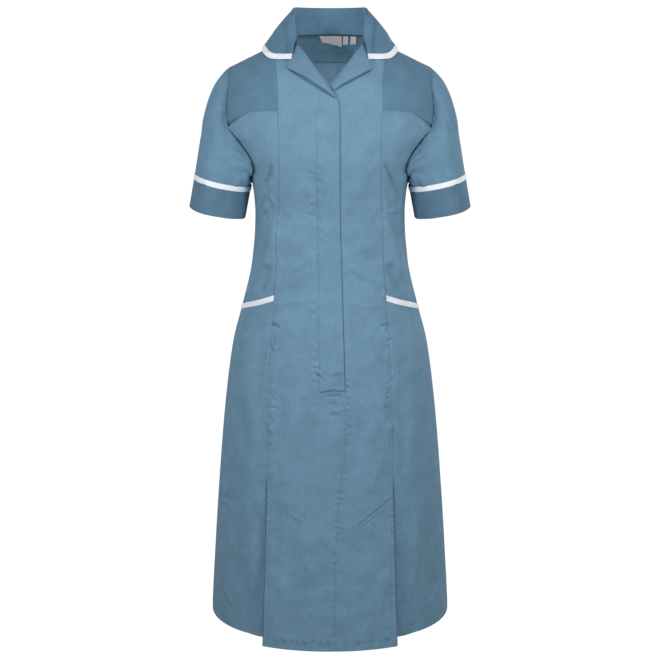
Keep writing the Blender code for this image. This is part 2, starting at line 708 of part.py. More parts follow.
def build_labels():
    """Blank labels that hang from the neck seam inside the back yoke."""
    for name, (start, end, length) in LABELS.items():
        columns = 4 if name == "neck_label" else 2
        across = np.linspace(start, end, columns + 1)
        heights = np.linspace(NECK_HEIGHT - length, NECK_HEIGHT - 1, 4)
        grid = np.array([[body(BACK, *place(BACK, x, h)) for x in across] for h in heights])
        grid = faced_out(grid)
        grid = moved(grid, np.full(grid.shape[:2], -CLOTH - LAYER_GAP - 0.8))
        cloth(name, grid, "label", LABEL)


for thing in list(bpy.data.objects):
    bpy.data.objects.remove(thing)
PIECES = new_collection("nurse_dress")
DRESS = bpy.data.objects.new("nurse_dress", None)
PIECES.objects.link(DRESS)
MATERIALS = {
    "cloth": new_material("cloth", 0.85),
    "binding": new_material("binding", 0.7),
    "label": new_material("label", 0.6),
}
build_fronts()
build_lapels()
build_front_yokes()
build_side_fronts()
build_kick_pleats()
build_back_yoke()
build_backs()
build_sleeves()
build_collar()
build_labels()
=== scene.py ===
"""The looks of a short-sleeved nurse's dress, filled out as it is worn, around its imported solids.

Sizes are in millimetres and heights count from the side hem, as the dress was drafted, until a mesh is
made. The front faces -Y and the wearer's right is at -X, where the right front laps over the left.
"""

import math

import bpy
import numpy as np
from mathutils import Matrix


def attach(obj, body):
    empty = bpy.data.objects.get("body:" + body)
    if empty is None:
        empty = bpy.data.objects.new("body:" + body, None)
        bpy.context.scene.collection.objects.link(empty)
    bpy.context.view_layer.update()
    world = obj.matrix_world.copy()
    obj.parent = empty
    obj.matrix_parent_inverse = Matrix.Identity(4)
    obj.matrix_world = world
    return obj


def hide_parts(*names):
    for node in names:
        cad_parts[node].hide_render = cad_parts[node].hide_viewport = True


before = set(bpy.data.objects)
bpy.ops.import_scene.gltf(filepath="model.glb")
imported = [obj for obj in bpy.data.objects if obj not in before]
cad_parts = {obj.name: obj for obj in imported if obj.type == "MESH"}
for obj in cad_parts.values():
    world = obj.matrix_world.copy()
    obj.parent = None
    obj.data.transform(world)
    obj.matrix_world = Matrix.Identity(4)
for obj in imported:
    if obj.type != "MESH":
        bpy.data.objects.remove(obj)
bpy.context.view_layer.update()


# The centre fronts
# Two long panels of light blue polyester and cotton, cut in one from shoulder to hem and shaped by the
# princess seams. The right one laps over the left with a hidden fly, stitched down as far as the thigh.
# Below the fly they are joined by a centre seam, and their lower sides stand away over the kick pleats.

MM = 0.001
ORIGIN_HEIGHT = 1088
CLOTH = 0.9
GIRTH_COLUMNS = ("height", "half_width", "front_depth", "back_depth")
GIRTHS = np.array((
    (-20, 229.0, 177, 161), (0, 228.5, 176, 160), (130, 220.5, 168, 154), (270, 210.0, 159, 147),
    (410, 197.0, 148, 138), (530, 180.5, 134, 127), (606, 160.6, 122, 113), (682, 143.5, 112, 98),
    (771, 136.5, 108, 88), (800, 138.0, 112, 89), (845, 146.0, 121, 95), (885, 163.0, 126, 101),
    (930, 190.0, 124, 104), (960, 190.0, 124, 105), (990, 190.0, 124, 105),
), float)
SQUARENESS = 2.1
FRONT = 0
BACK = 1
CHEST = (930, 960)
RIDGE = 160
SHOULDER = 1200
SHOULDER_LINE = ((-183, 1031), (-60, 1088), (0, 1108), (60, 1088), (183, 1031))
BUST = dict(across=88, height=880, out=6, spread=(45, 55))

CENTRE_HEM = -8
YOKE_START = 965
PRINCESS_FRONT = (
    (116, CENTRE_HEM), (116, 140), (115, 296), (112, 452), (106.3, 559), (100.7, 630), (95.6, 720),
    (92.3, 783), (89.8, 854), (91.3, 965), (92.6, 1015), (95.7, 1048), (97, SHOULDER),
)
CENTRE_SEAM = (
    (9, CENTRE_HEM), (9.2, 84), (10, 165), (13.2, 213), (18, 282), (27, 350), (28.2, 403), (26.5, 466),
)
FLY_EDGE = ((21.6, 632), (17, 810), (16.5, 950), (16, 972), (13, 985))
RIGHT_ROLL = ((-1, 1009), (-30, 1045), (-58.5, 1079), (-60, SHOULDER))
UNDERLAP_EDGE = ((-14, 484), (-19, 632), (-21, 810), (-21, 950), (-19, 976), (-12, 994))
LEFT_ROLL = ((-1, 1009), (30, 1045), (58.5, 1079), (60, SHOULDER))
FLY_STITCHING = ((-19, 468), (-21, 640), (-22.5, 810), (-23, 950), (-22, 975), (-14, 999))
KICK_TOP = 300
KICK_OUT = 21
KICK_POWER = 1.3
KICK_STITCH = ((112, 274), (50, 230))
KICK_DROP = 7
LAP = 2.4
RIGHT_LAPEL = ((10, 986.5), (-72, 1034), (-69, 1048), (-57.5, 1076), (12, 989.5))
LEFT_LAPEL = ((6, 999.5), (73, 1033), (69, 1048), (57.5, 1076), (1.5, 1009.5))

# Soft folds over the whole front, as the cloth lies: from a place to a place, half width, and height
# above the cloth, below 0 for a trough.
FRONT_FOLDS = (
    # the chest, and the dimples along the fly
    (-12, 984, -2, 977, 4, -0.95), (-17, 981, -13, 977, 2.5, 0.95), (-37, 860, -26, 853, 3, -1.1),
    (-23, 869, -16, 862, 3, -0.95), (-23, 844, -14, 839, 3, -1.1), (-23, 824, -14, 821, 3, -0.95),
    (-33, 802, -30, 797, 4, -0.95), (-37, 784, -30, 779, 3.5, -0.95), (-21, 777, -16, 770, 3, -0.95),
    (-23, 756, -16, 752, 3, -0.76), (-19, 740, -14, 733, 3, -0.76), (-34, 720, -27, 715, 3.5, -0.76),
    (-23, 710, -18, 703, 3, -0.95), (-34, 628, -27, 621, 5, -1.1), (-32, 610, -25, 603, 4.5, -1.1),
    (-20, 551, -14, 546, 3.5, -0.76), (-30, 543, -25, 538, 4, -0.76), (-32, 526, -21, 521, 4, -0.95),
    (12, 815, 2, 770, 8, -0.5), (-12, 735, -6, 690, 9, -0.7), (-8, 850, -4, 800, 9, 0.4),
    # soft drags from the bust to the waist
    (-85, 900, -40, 830, 16, -0.7), (-60, 860, -30, 790, 13, 0.6), (85, 905, 42, 838, 16, -0.7),
    (62, 870, 34, 790, 12, 0.6), (-88, 812, -64, 770, 9, 0.5), (88, 806, 66, 764, 9, 0.5),
    # the side fronts' small folds beside the princess seams, at the waist
    (-103, 867, -115, 833, 4.5, -2.2), (-118, 806, -128, 777, 3.4, -1.8), (-110, 804, -103, 785, 3, -1.2),
    (-114, 797, -122, 775, 3, 1.6), (-106, 814, -100, 800, 3, 1.2), (-122, 790, -116, 770, 2.6, -1.2),
    (-112, 856, -122, 826, 5, 1.3), (-104, 838, -110, 816, 4, 1.3), (-110, 778, -104, 768, 3, 1.2),
    (96, 870, 112, 826, 4.5, -2.2), (115, 821, 124, 794, 3.2, -1.8), (120, 804, 120, 784, 2.4, -1.6),
    (103, 783, 122, 780, 3, 1.6), (104, 806, 110, 790, 3, -1.2), (110, 818, 106, 800, 3, 1.2),
    (106, 858, 119, 826, 5, 1.3), (112, 796, 113, 784, 2.4, 1.2), (98, 800, 100, 780, 3, 1.2),
    # long soft folds from the waist over the hip
    (-96, 770, -124, 672, 11, 2.7), (-112, 684, -131, 639, 10, -2.7), (-128, 740, -140, 690, 9, -0.98),
    (96, 770, 127, 662, 11, 2.7), (106, 686, 127, 640, 10, -2.7), (128, 736, 139, 690, 9, -0.98),
    (-97, 657, -34, 702, 6, 0.84), (97, 655, 35, 693, 6, 0.84), (-53, 659, -9, 674, 13, -1.1),
    (27, 674, 80, 650, 13, -1.1), (-88, 700, -50, 714, 13, -0.84), (88, 702, 50, 708, 13, -0.84),
    (-92, 742, -48, 726, 12, 0.7), (92, 738, 50, 724, 12, 0.7), (-88, 640, -36, 652, 9, -0.7),
    (90, 640, 44, 650, 9, -0.7), (-96, 618, -40, 628, 5, 0.56), (94, 618, 36, 626, 5, 0.56),
    # creases that run in to the end of the fly, and the bar of stitching there
    (-32, 511, -17, 509, 2.4, -1.1), (-30, 504, -21, 497, 2.2, -1.0), (-20, 506, -9, 489, 2.6, 1.0),
    (-13, 504, 2, 489, 2.8, -1.1), (-25, 499, -14, 489, 2.2, -1.1), (-30, 488, -20, 482, 2.4, -0.9),
    (-22, 494, -14, 488, 2.4, 1.2), (-18, 466, 25, 469, 2.2, -1.8), (-8, 459, 22, 461, 2.4, -1.2),
    (10, 500, 16, 474, 13, -1.9), (2, 427, 21, 422, 5, -0.94), (-34, 445, -25, 440, 4.5, -1.1),
    (-5, 447, 11, 444, 4.5, -0.94), (4, 436, 16, 434, 5, 0.94), (-40, 470, -30, 448, 7, -0.75),
    # gathers beside the top of the centre seam
    (29, 490, 36, 485, 2.4, -1.2), (29, 477, 37, 474, 2.4, -1.3), (29, 458, 36, 452, 2.4, -1.2),
    (30, 447, 36, 443, 2.2, -1.0), (29, 436, 37, 430, 2.4, -1.3), (29, 425, 36, 420, 2.2, -1.2),
    (29, 407, 37, 402, 2.6, -1.3), (29, 392, 35, 388, 2.4, -0.9), (28, 374, 36, 369, 2.6, -1.2),
    # gathers beside the princess seams, below the pockets
    (-106, 582, -91, 580, 3.4, -1.7), (-106, 562, -99, 556, 3, -1), (-104, 546, -96, 540, 4, 1),
    (-108, 468, -99, 457, 2.4, -1.1), (-108, 459, -101, 449, 2.2, -0.9), (-105, 464, -97, 453, 2, 0.9),
    (-108, 436, -95, 433, 3.2, -1.1), (-112, 415, -103, 411, 3, -0.9), (-110, 401, -105, 390, 4, 1.3),
    (91, 582, 108, 581, 3.4, -1.5), (102, 565, 110, 560, 3, 1.2), (106, 548, 96, 542, 4, -0.9),
    (110, 470, 103, 458, 2.4, -1.1), (108, 454, 97, 450, 2.4, -0.9), (98, 437, 107, 432, 3.2, -1.1),
    (101, 415, 110, 412, 3, -0.9), (107, 402, 110, 392, 4, 1.1),
    # the skirt
    (-78, 600, -64, 520, 22, 1), (70, 592, 62, 505, 22, 0.88), (-56, 560, -48, 470, 16, -1),
    (56, 560, 62, 452, 18, -1), (-84, 470, -66, 390, 17, 0.88), (92, 452, 70, 380, 16, 0.88),
    (-40, 420, -52, 330, 18, -1), (52, 410, 44, 322, 18, -0.88), (-4, 400, -10, 330, 14, 0.88),
    (-94, 350, -72, 292, 12, 0.75), (96, 350, 70, 286, 12, 0.75), (-26, 330, -34, 250, 16, 0.75),
    (34, 300, 42, 214, 16, 0.75), (-66, 206, -90, 140, 16, -1), (70, 204, 92, 130, 16, -1),
    (-40, 200, -46, 110, 18, 1), (44, 186, 40, 100, 17, -0.88), (-92, 130, -80, 60, 12, 0.88),
    (-10, 190, -16, 110, 14, -1), (94, 130, 84, 60, 12, 0.88), (22, 120, 26, 50, 12, 0.75),
    # flutes at the centre hem
    (-95, 8, -95, -4, 3.4, -1.2), (-82, 10, -81, -4, 3.4, -1.1), (-67, 8, -67, -4, 3, -1.2),
    (-60, 12, -59, -4, 3, -1.1), (-45, 8, -46, -4, 4, -1.2), (-28, 12, -29, -4, 3.6, -1.2),
    (-17, 8, -17, -4, 4, -1.1), (-4, 10, -5, -4, 4.4, -1.2), (28, 10, 29, -4, 4.4, -1.1),
    (50, 8, 49, -4, 4, -1.2), (74, 10, 76, -4, 4.4, -1.1), (98, 8, 99, -4, 4, -1.1),
    (-88, 40, -84, 6, 9, 0.5), (-36, 44, -38, 6, 9, 0.5), (14, 40, 16, 6, 9, -0.5), (62, 40, 64, 6, 9, 0.5),
    # the side fronts below the pockets
    (-128, 590, -136, 500, 16, -0.9), (-112, 540, -120, 470, 9, 0.6), (-150, 560, -156, 440, 18, 0.8),
    (128, 586, 137, 496, 16, -0.9), (113, 536, 120, 462, 9, 0.6), (150, 560, 157, 430, 18, 0.8),
    (-126, 450, -134, 330, 13, -1.0), (-160, 420, -172, 280, 18, -0.9), (127, 440, 134, 320, 13, -1.0),
    (162, 410, 172, 270, 18, -0.9), (-155, 250, -148, 80, 12, 1.2), (-182, 250, -186, 76, 13, -1.1),
    (-128, 240, -131, 70, 9, -0.9), (155, 246, 149, 80, 12, 1.2), (182, 244, 186, 76, 13, -1.1),
    (128, 236, 131, 70, 9, -0.9), (-204, 239, -186, 245, 4, -0.7), (-204, 223, -190, 228, 4, -0.7),
    (-205, 231, -190, 236, 3, 0.5), (204, 262, 188, 254, 4, -0.6), (204, 247, 190, 241, 4, -0.5),
    (-200, 66, -182, 45, 4.6, 1.1), (-204, 54, -188, 33, 5, -0.8), (200, 64, 184, 44, 4.6, 1.0),
    (204, 52, 190, 32, 5, -0.8), (-150, 60, -156, 0, 9, -1.0), (152, 60, 158, 0, 9, -1.0),
    (-132, 40, -134, 0, 7, 0.8), (134, 40, 136, 0, 7, 0.8),
    # the yokes and the armholes' lower corners
    (-104, 1030, -150, 990, 14, -0.6), (-120, 1010, -168, 972, 12, 0.5), (104, 1030, 150, 992, 14, -0.6),
    (122, 1008, 168, 970, 12, 0.5), (-185, 929, -164, 948, 2.8, -1.7), (-186, 921, -162, 941, 2.6, 1.4),
    (-176, 912, -158, 930, 3, -0.85), (185, 929, 166, 946, 2.8, -1.5), (186, 921, 164, 939, 2.6, 1.2),
    (176, 912, 158, 930, 3, -0.85), (-140, 946, -110, 925, 12, 0.6), (140, 946, 110, 925, 12, 0.6),
    (-166, 912, -140, 880, 8, -0.8), (166, 912, 140, 880, 8, -0.8),
)

# Seam puckers in the front: a stretch of the seam from height to height, spacing, reach to each side,
# and depth.
PRINCESS_PUCKERS = (
    (0, 262, 15, 6, 0, 2.2), (290, 390, 12, 9, 4, 2.2), (390, 470, 12, 8, 4, 1.6), (470, 545, 14, 7, 4, 1.7),
    (545, 632, 12, 9, 5, 2.6), (640, 780, 17, 6, 4, 1.2), (790, 960, 21, 5, 5, 0.9), (965, 1040, 24, 4, 4, 0.6),
)
CENTRE_PUCKERS = ((20, 200, 15, 5, 7, 2.2), (200, 360, 13, 7, 8, 2.8), (360, 464, 13, 4, 6, 1.8))
FLY_PUCKERS = ((474, 640, 16, 5, 4, 2), (640, 780, 18, 4, 3, 1.5), (780, 870, 14, 5, 4, 1.8), (870, 985, 19, 3, 3, 1.2))


def smooth(rows, column, at):
    """A monotone cubic through one column of a table whose first column increases."""
    rows = np.asarray(rows, float)
    along = rows[:, 0]
    values = rows[:, column]
    step = np.diff(along)
    slope = np.diff(values) / step
    tangent = np.concatenate(([slope[0]], np.zeros(len(slope) - 1), [slope[-1]]))
    same_way = slope[:-1] * slope[1:] > 0
    mean = 2 * slope[:-1] * slope[1:] / np.where(same_way, slope[:-1] + slope[1:], 1)
    tangent[1:-1] = np.where(same_way, mean, 0)
    at = np.clip(np.asarray(at, float), along[0], along[-1])
    i = np.clip(np.searchsorted(along, at, side="right") - 1, 0, len(step) - 1)
    t = (at - along[i]) / step[i]
    return (
        values[i] * (1 + 2 * t) * (1 - t) ** 2
        + tangent[i] * step[i] * t * (1 - t) ** 2
        + values[i + 1] * t * t * (3 - 2 * t)
        + tangent[i + 1] * step[i] * t * t * (t - 1)
    )


def girth(name, height):
    return smooth(GIRTHS, GIRTH_COLUMNS.index(name), height)


def ramp(t):
    """0 below 0, 1 above 1 and a smooth S between."""
    t = np.clip(t, 0, 1)
    return t * t * (3 - 2 * t)


def body(face, angle, rise):
    """The body surface's points at these angles and rises, as an array of (across, back, height)."""
    angle = np.radians(np.asarray(angle, float))
    rise = np.asarray(rise, float)
    level = CHEST[face] + np.minimum(rise, 0)
    across = girth("half_width", level) * np.abs(np.sin(angle)) ** (2 / SQUARENESS) * np.sign(angle)
    depth = girth(("front_depth", "back_depth")[face], level) * np.abs(np.cos(angle)) ** (2 / SQUARENESS)
    roll = np.radians(np.clip(rise, 0, RIDGE) / RIDGE * 90)
    height = level + (smooth(SHOULDER_LINE, 1, across) - CHEST[face]) * np.sin(roll)
    if face == BACK:
        return np.stack((across, depth * np.cos(roll), height), axis=-1)
    away = ((np.abs(across) - BUST["across"]) / BUST["spread"][0]) ** 2
    away = away + ((height - BUST["height"]) / BUST["spread"][1]) ** 2
    depth = (depth + BUST["out"] * np.exp(-away) * np.abs(np.cos(angle)) ** 0.5) * np.cos(roll)
    return np.stack((across, -depth, height), axis=-1)


def place(face, across, height):
    """The angle and rise of the surface points seen at these places from the front or back."""
    across = np.asarray(across, float)
    height = np.asarray(height, float)
    chest = CHEST[face]
    up = np.clip((height - chest) / (smooth(SHOULDER_LINE, 1, across) - chest), 0, 1)
    rise = np.where(height <= chest, height - chest, np.degrees(np.arcsin(up)) / 90 * RIDGE)
    share = np.minimum(np.abs(across) / girth("half_width", np.minimum(height, chest)), 1)
    angle = np.degrees(np.arcsin(share ** (SQUARENESS / 2)))
    return np.stack(np.broadcast_arrays(np.copysign(angle, across), rise), axis=-1)


def line(face, places):
    """A function from 0 to 1 along a seam to its angle and rise, at an even pace over the surface."""
    angle, rise = place(face, *np.array(places, float).T).T
    steps = np.linalg.norm(np.diff(body(face, angle, rise), axis=0), axis=1)
    along = np.concatenate(([0], np.cumsum(steps)))
    rows = np.stack((along / along[-1], angle, rise), axis=1)
    return lambda t: np.stack((smooth(rows, 1, t), smooth(rows, 2, t)), axis=-1)


def steps(length, step, fine=()):
    """Distances from 0 to length, about a step apart in the middle and as in fine near each end."""
    fine = np.array((0, *fine), float)
    count = max(2, round((length - 2 * fine[-1]) / step))
    middle = np.linspace(fine[-1], length - fine[-1], count + 1)
    return np.concatenate((fine[:-1], middle, (length - fine[:-1])[::-1]))


FINE = (0.7, 1.6, 2.8, 4.4)


def patch(face, near, far, step, low=None, high=None, fine=FINE):
    """Surface points between two side borders, arrays of (angle, rise), and end borders as functions."""
    width = np.linalg.norm(body(face, *near.T) - body(face, *far.T), axis=1)
    middle = steps(float(np.median(width)), step, fine)
    edge = len(fine) + 1
    share = np.empty((len(near), len(middle)))
    for i, wide in enumerate(width):
        kept = min(1, wide / (4 * fine[-1]))
        ends = np.array((0, *fine)) * kept / wide
        inside = (middle[edge - 1:-edge + 1] - fine[-1]) / (middle[-1] - 2 * fine[-1])
        inside = ends[-1] + inside * (1 - 2 * ends[-1])
        share[i] = np.concatenate((ends[:-1], inside, (1 - ends[:-1])[::-1]))
    t = np.linspace(0, 1, len(near))[:, None, None]
    s = share[..., None]
    places = (1 - s) * near[:, None] + s * far[:, None]
    for border, weight in ((low, 1 - t), (high, t)):
        if border is not None:
            places = places + weight * (border(share) - ((1 - s) * border(0.0) + s * border(1.0)))
    return body(face, places[..., 0], places[..., 1])


def normals(grid, closed=False):
    """The unit normal at each grid point, on the side that its faces point to."""
    if closed:
        along = np.roll(grid, -1, axis=1) - np.roll(grid, 1, axis=1)
    else:
        along = np.gradient(grid, axis=1)
    normal = np.cross(along, np.gradient(grid, axis=0))
    return normal / np.linalg.norm(normal, axis=-1, keepdims=True)


def faced_out(grid):
    """The grid with its columns turned round where its faces would point at the hollow."""
    return grid if (normals(grid) * grid * (1, 1, 0)).sum() > 0 else grid[:, ::-1]


def moved(grid, distance, closed=False):
    return grid + normals(grid, closed) * np.asarray(distance, float)[..., None]


def folded(across, height, folds):
    """How far out these folds bring the cloth at each place: a soft ridge or trough with low shoulders."""
    out = np.zeros(np.shape(across))
    for x, h, to_x, to_h, width, depth in folds:
        run = np.array((to_x - x, to_h - h), float)
        length = np.linalg.norm(run)
        along = ((across - x) * run[0] + (height - h) * run[1]) / length
        bow = 0.05 * length * np.sin(np.pi * np.clip(along / length, 0, 1))
        side = ((height - h) * run[0] - (across - x) * run[1]) / length - bow
        reach = 0.3 * length
        ends = ramp((along + reach / 2) / reach) * ramp((length + reach / 2 - along) / reach)
        share = (side / width) ** 2
        out += depth * ends * (1 - 0.55 * share) * np.exp(-share)
    return out * 2.2


def puckered(off, height, stretches, seed):
    """Small uneven gathers across a seam. off is how far each place lies from it, to the inner side."""
    draw = np.random.default_rng(seed)
    out = np.zeros(np.shape(off))
    for start, end, pitch, inner, outer, depth in stretches:
        h = start + pitch * draw.uniform(0, 0.6)
        while h < end:
            size = draw.uniform(0.35, 1.25)
            slant = draw.uniform(-0.75, 0.75)
            width = pitch * draw.uniform(0.16, 0.27)
            reach = np.where(off > 0, inner * draw.uniform(0.6, 1.3), max(outer, 0.5) * draw.uniform(0.6, 1.3))
            share = ((height - h - slant * off) / width) ** 2
            fade = np.exp(-((off / reach) ** 2))
            out += depth * size * (1 - 0.8 * share) * np.exp(-share) * fade * (0.35 + 0.65 * ramp(np.abs(off) / 3))
            h += pitch * draw.uniform(0.6, 1.5)
    return out


def groove(off, width, depth):
    return -depth * np.exp(-((off / width) ** 2))


def princess(height):
    """How far across the front princess seam lies at this height."""
    return smooth([(h, x) for x, h in PRINCESS_FRONT], 1, height)


def right_front_edge(height):
    """Where the right front's free edge or the centre seam lies across, at this height."""
    return smooth([(h, x) for x, h in CENTRE_SEAM + FLY_EDGE + RIGHT_ROLL[:-1]], 1, height)


def front_relief(across, height):
    """How far the sewing and the folds bring the front's cloth out from the body's surface."""
    out = folded(across, height, FRONT_FOLDS)
    for side, seed in ((-1, 11), (1, 12)):
        off = princess(height) - side * across
        near = np.abs(off) < 60
        out += np.where(near, puckered(np.where(near, off, 60), height, PRINCESS_PUCKERS, seed), 0)
    below = 1 - ramp((height - 455) / 14)
    seam = across - right_front_edge(height)
    out += groove(seam, 1.8, 0.6) * below + puckered(seam, height, CENTRE_PUCKERS, 13) * below
    fly = across - smooth([(h, x) for x, h in FLY_STITCHING], 1, height)
    sewn = ramp((height - 460) / 8) * (1 - ramp((height - 985) / 12))
    out += (groove(fly, 2.4, 1.0) + puckered(fly, height, FLY_PUCKERS, 14)) * sewn
    ease = ramp((across + 24) / 8) * (1 - ramp((across - right_front_edge(height) + 4) / 5))
    out += 0.5 * sewn * ease
    (out_x, out_h), (in_x, in_h) = KICK_STITCH
    for side in (-1, 1):
        slope = (out_h - in_h) / (out_x - in_x)
        away = height - in_h + KICK_DROP - (side * across - in_x) * slope
        reach = ramp((side * across - in_x + 3) / 6) * (1 - ramp((side * across - out_x) / 3))
        out += (groove(away, 2.2, 1.7) + 0.9 * np.exp(-((away + 3.5) / 2.5) ** 2)) * reach
        second = ramp((side * across - in_x + 2) / 4) * (1 - ramp((side * across - in_x - 30) / 8))
        out += groove(away + 7, 2, 1.2) * second
        out += puckered(away, side * across, ((52, 112, 8, 5, 6, 0.7),), 15 + side) * reach
        beside = princess(height) - side * across - 5
        out += groove(beside, 1.6, 0.8) * ramp((height - 268) / 20) * (1 - ramp((height - 640) / 30))
    return out


def kick_shade(across, height):
    """Painted shade along the line where the kick pleat's stitching pulls the cloth in."""
    (out_x, out_h), (in_x, in_h) = KICK_STITCH
    side = np.abs(across)
    away = height - in_h + KICK_DROP - (side - in_x) * (out_h - in_h) / (out_x - in_x)
    reach = ramp((side - in_x + 3) / 6) * (1 - ramp((side - out_x) / 3))
    return np.exp(-((away / 1.3) ** 2)) * reach * (0.24 + 0.16 * np.sin(side * 0.9))


def kick_lift(height):
    """How far the centre front panels stand out from the side panels."""
    return KICK_OUT * np.clip((KICK_TOP - height) / KICK_TOP, 0, 1.1) ** KICK_POWER


def edge_groove(grid, borders, depth=0.8, width=2.0):
    """A dip along the named borders, where the piece is seamed to the next one."""
    out = np.zeros(grid.shape[:2])
    columns = np.linalg.norm(np.diff(grid, axis=1), axis=2)
    rows = np.linalg.norm(np.diff(grid, axis=0), axis=2)
    start = np.hstack((np.zeros((len(grid), 1)), np.cumsum(columns, axis=1)))
    low = np.vstack((np.zeros((1, grid.shape[1])), np.cumsum(rows, axis=0)))
    away = {"first": start, "last": start[:, -1:] - start, "low": low, "high": low[-1:] - low}
    for name in borders:
        out += groove(away[name], width, depth)
    return out


def new_group(name, inputs, outputs):
    """A shader node group with its sockets, and its input and output nodes."""
    group = bpy.data.node_groups.new(name, "ShaderNodeTree")
    for socket, kind, value in inputs:
        made = group.interface.new_socket(socket, in_out="INPUT", socket_type=kind)
        if value is not None:
            made.default_value = value
    for socket, kind in outputs:
        group.interface.new_socket(socket, in_out="OUTPUT", socket_type=kind)
    return group, group.nodes.new("NodeGroupInput"), group.nodes.new("NodeGroupOutput")


def math_node(nodes, links, operation, first, second=None):
    """A math node on two sockets or numbers, and its output."""
    node = nodes.new("ShaderNodeMath")
    node.operation = operation
    for socket, value in zip(node.inputs, (first, second)):
        if isinstance(value, bpy.types.NodeSocket):
            links.new(value, socket)
        elif value is not None:
            socket.default_value = value
    return node.outputs[0]


def noise_node(nodes, links, vector, scale, detail=2.0, roughness=0.5):
    node = nodes.new("ShaderNodeTexNoise")
    node.inputs["Scale"].default_value = scale
    node.inputs["Detail"].default_value = detail
    node.inputs["Roughness"].default_value = roughness
    links.new(vector, node.inputs["Vector"])
    return node.outputs["Fac"]


def stretched(nodes, links, vector, scale):
    node = nodes.new("ShaderNodeMapping")
    node.inputs["Scale"].default_value = scale
    links.new(vector, node.inputs["Vector"])
    return node.outputs["Vector"]


def build_weave():
    """Plain weave on a UV map in metres: round threads that pass over and under, with uneven yarns."""
    group, given, made = new_group(
        "plain_weave",
        (("Vector", "NodeSocketVector", None), ("Pitch", "NodeSocketFloat", 0.0005), ("Unevenness", "NodeSocketFloat", 0.5)),
        (("Height", "NodeSocketFloat"), ("Shade", "NodeSocketFloat")),
    )
    nodes = group.nodes
    links = group.links
    split = nodes.new("ShaderNodeSeparateXYZ")
    links.new(given.outputs["Vector"], split.inputs[0])
    threads = []
    for axis in (0, 1):
        count = math_node(nodes, links, "DIVIDE", split.outputs[axis], given.outputs["Pitch"])
        part = math_node(nodes, links, "FRACT", count)
        turn = math_node(nodes, links, "MULTIPLY", part, math.pi)
        threads.append((math_node(nodes, links, "FLOOR", count), math_node(nodes, links, "SINE", turn)))
    both = math_node(nodes, links, "ADD", threads[0][0], threads[1][0])
    over = math_node(nodes, links, "FLOORED_MODULO", both, 2.0)
    under = math_node(nodes, links, "SUBTRACT", 1.0, over)
    first = math_node(nodes, links, "MULTIPLY", over, threads[0][1])
    second = math_node(nodes, links, "MULTIPLY", under, threads[1][1])
    links.new(math_node(nodes, links, "ADD", first, second), made.inputs["Height"])
    warp = noise_node(nodes, links, stretched(nodes, links, given.outputs["Vector"], (900, 40, 1)), 1.0)
    weft = noise_node(nodes, links, stretched(nodes, links, given.outputs["Vector"], (40, 900, 1)), 1.0)
    yarns = math_node(nodes, links, "ADD", warp, weft)
    yarns = math_node(nodes, links, "SUBTRACT", yarns, 1.0)
    yarns = math_node(nodes, links, "MULTIPLY", yarns, given.outputs["Unevenness"])
    links.new(math_node(nodes, links, "ADD", yarns, 0.5), made.inputs["Shade"])
    return group


WEAVE = build_weave()


# Painted shade where cloth sinks in a seam or lies under an edge: the deepest tone, and a plain seam's share.
DEEP_SHADE = 0.22
SEAM_SHADE = 0.26


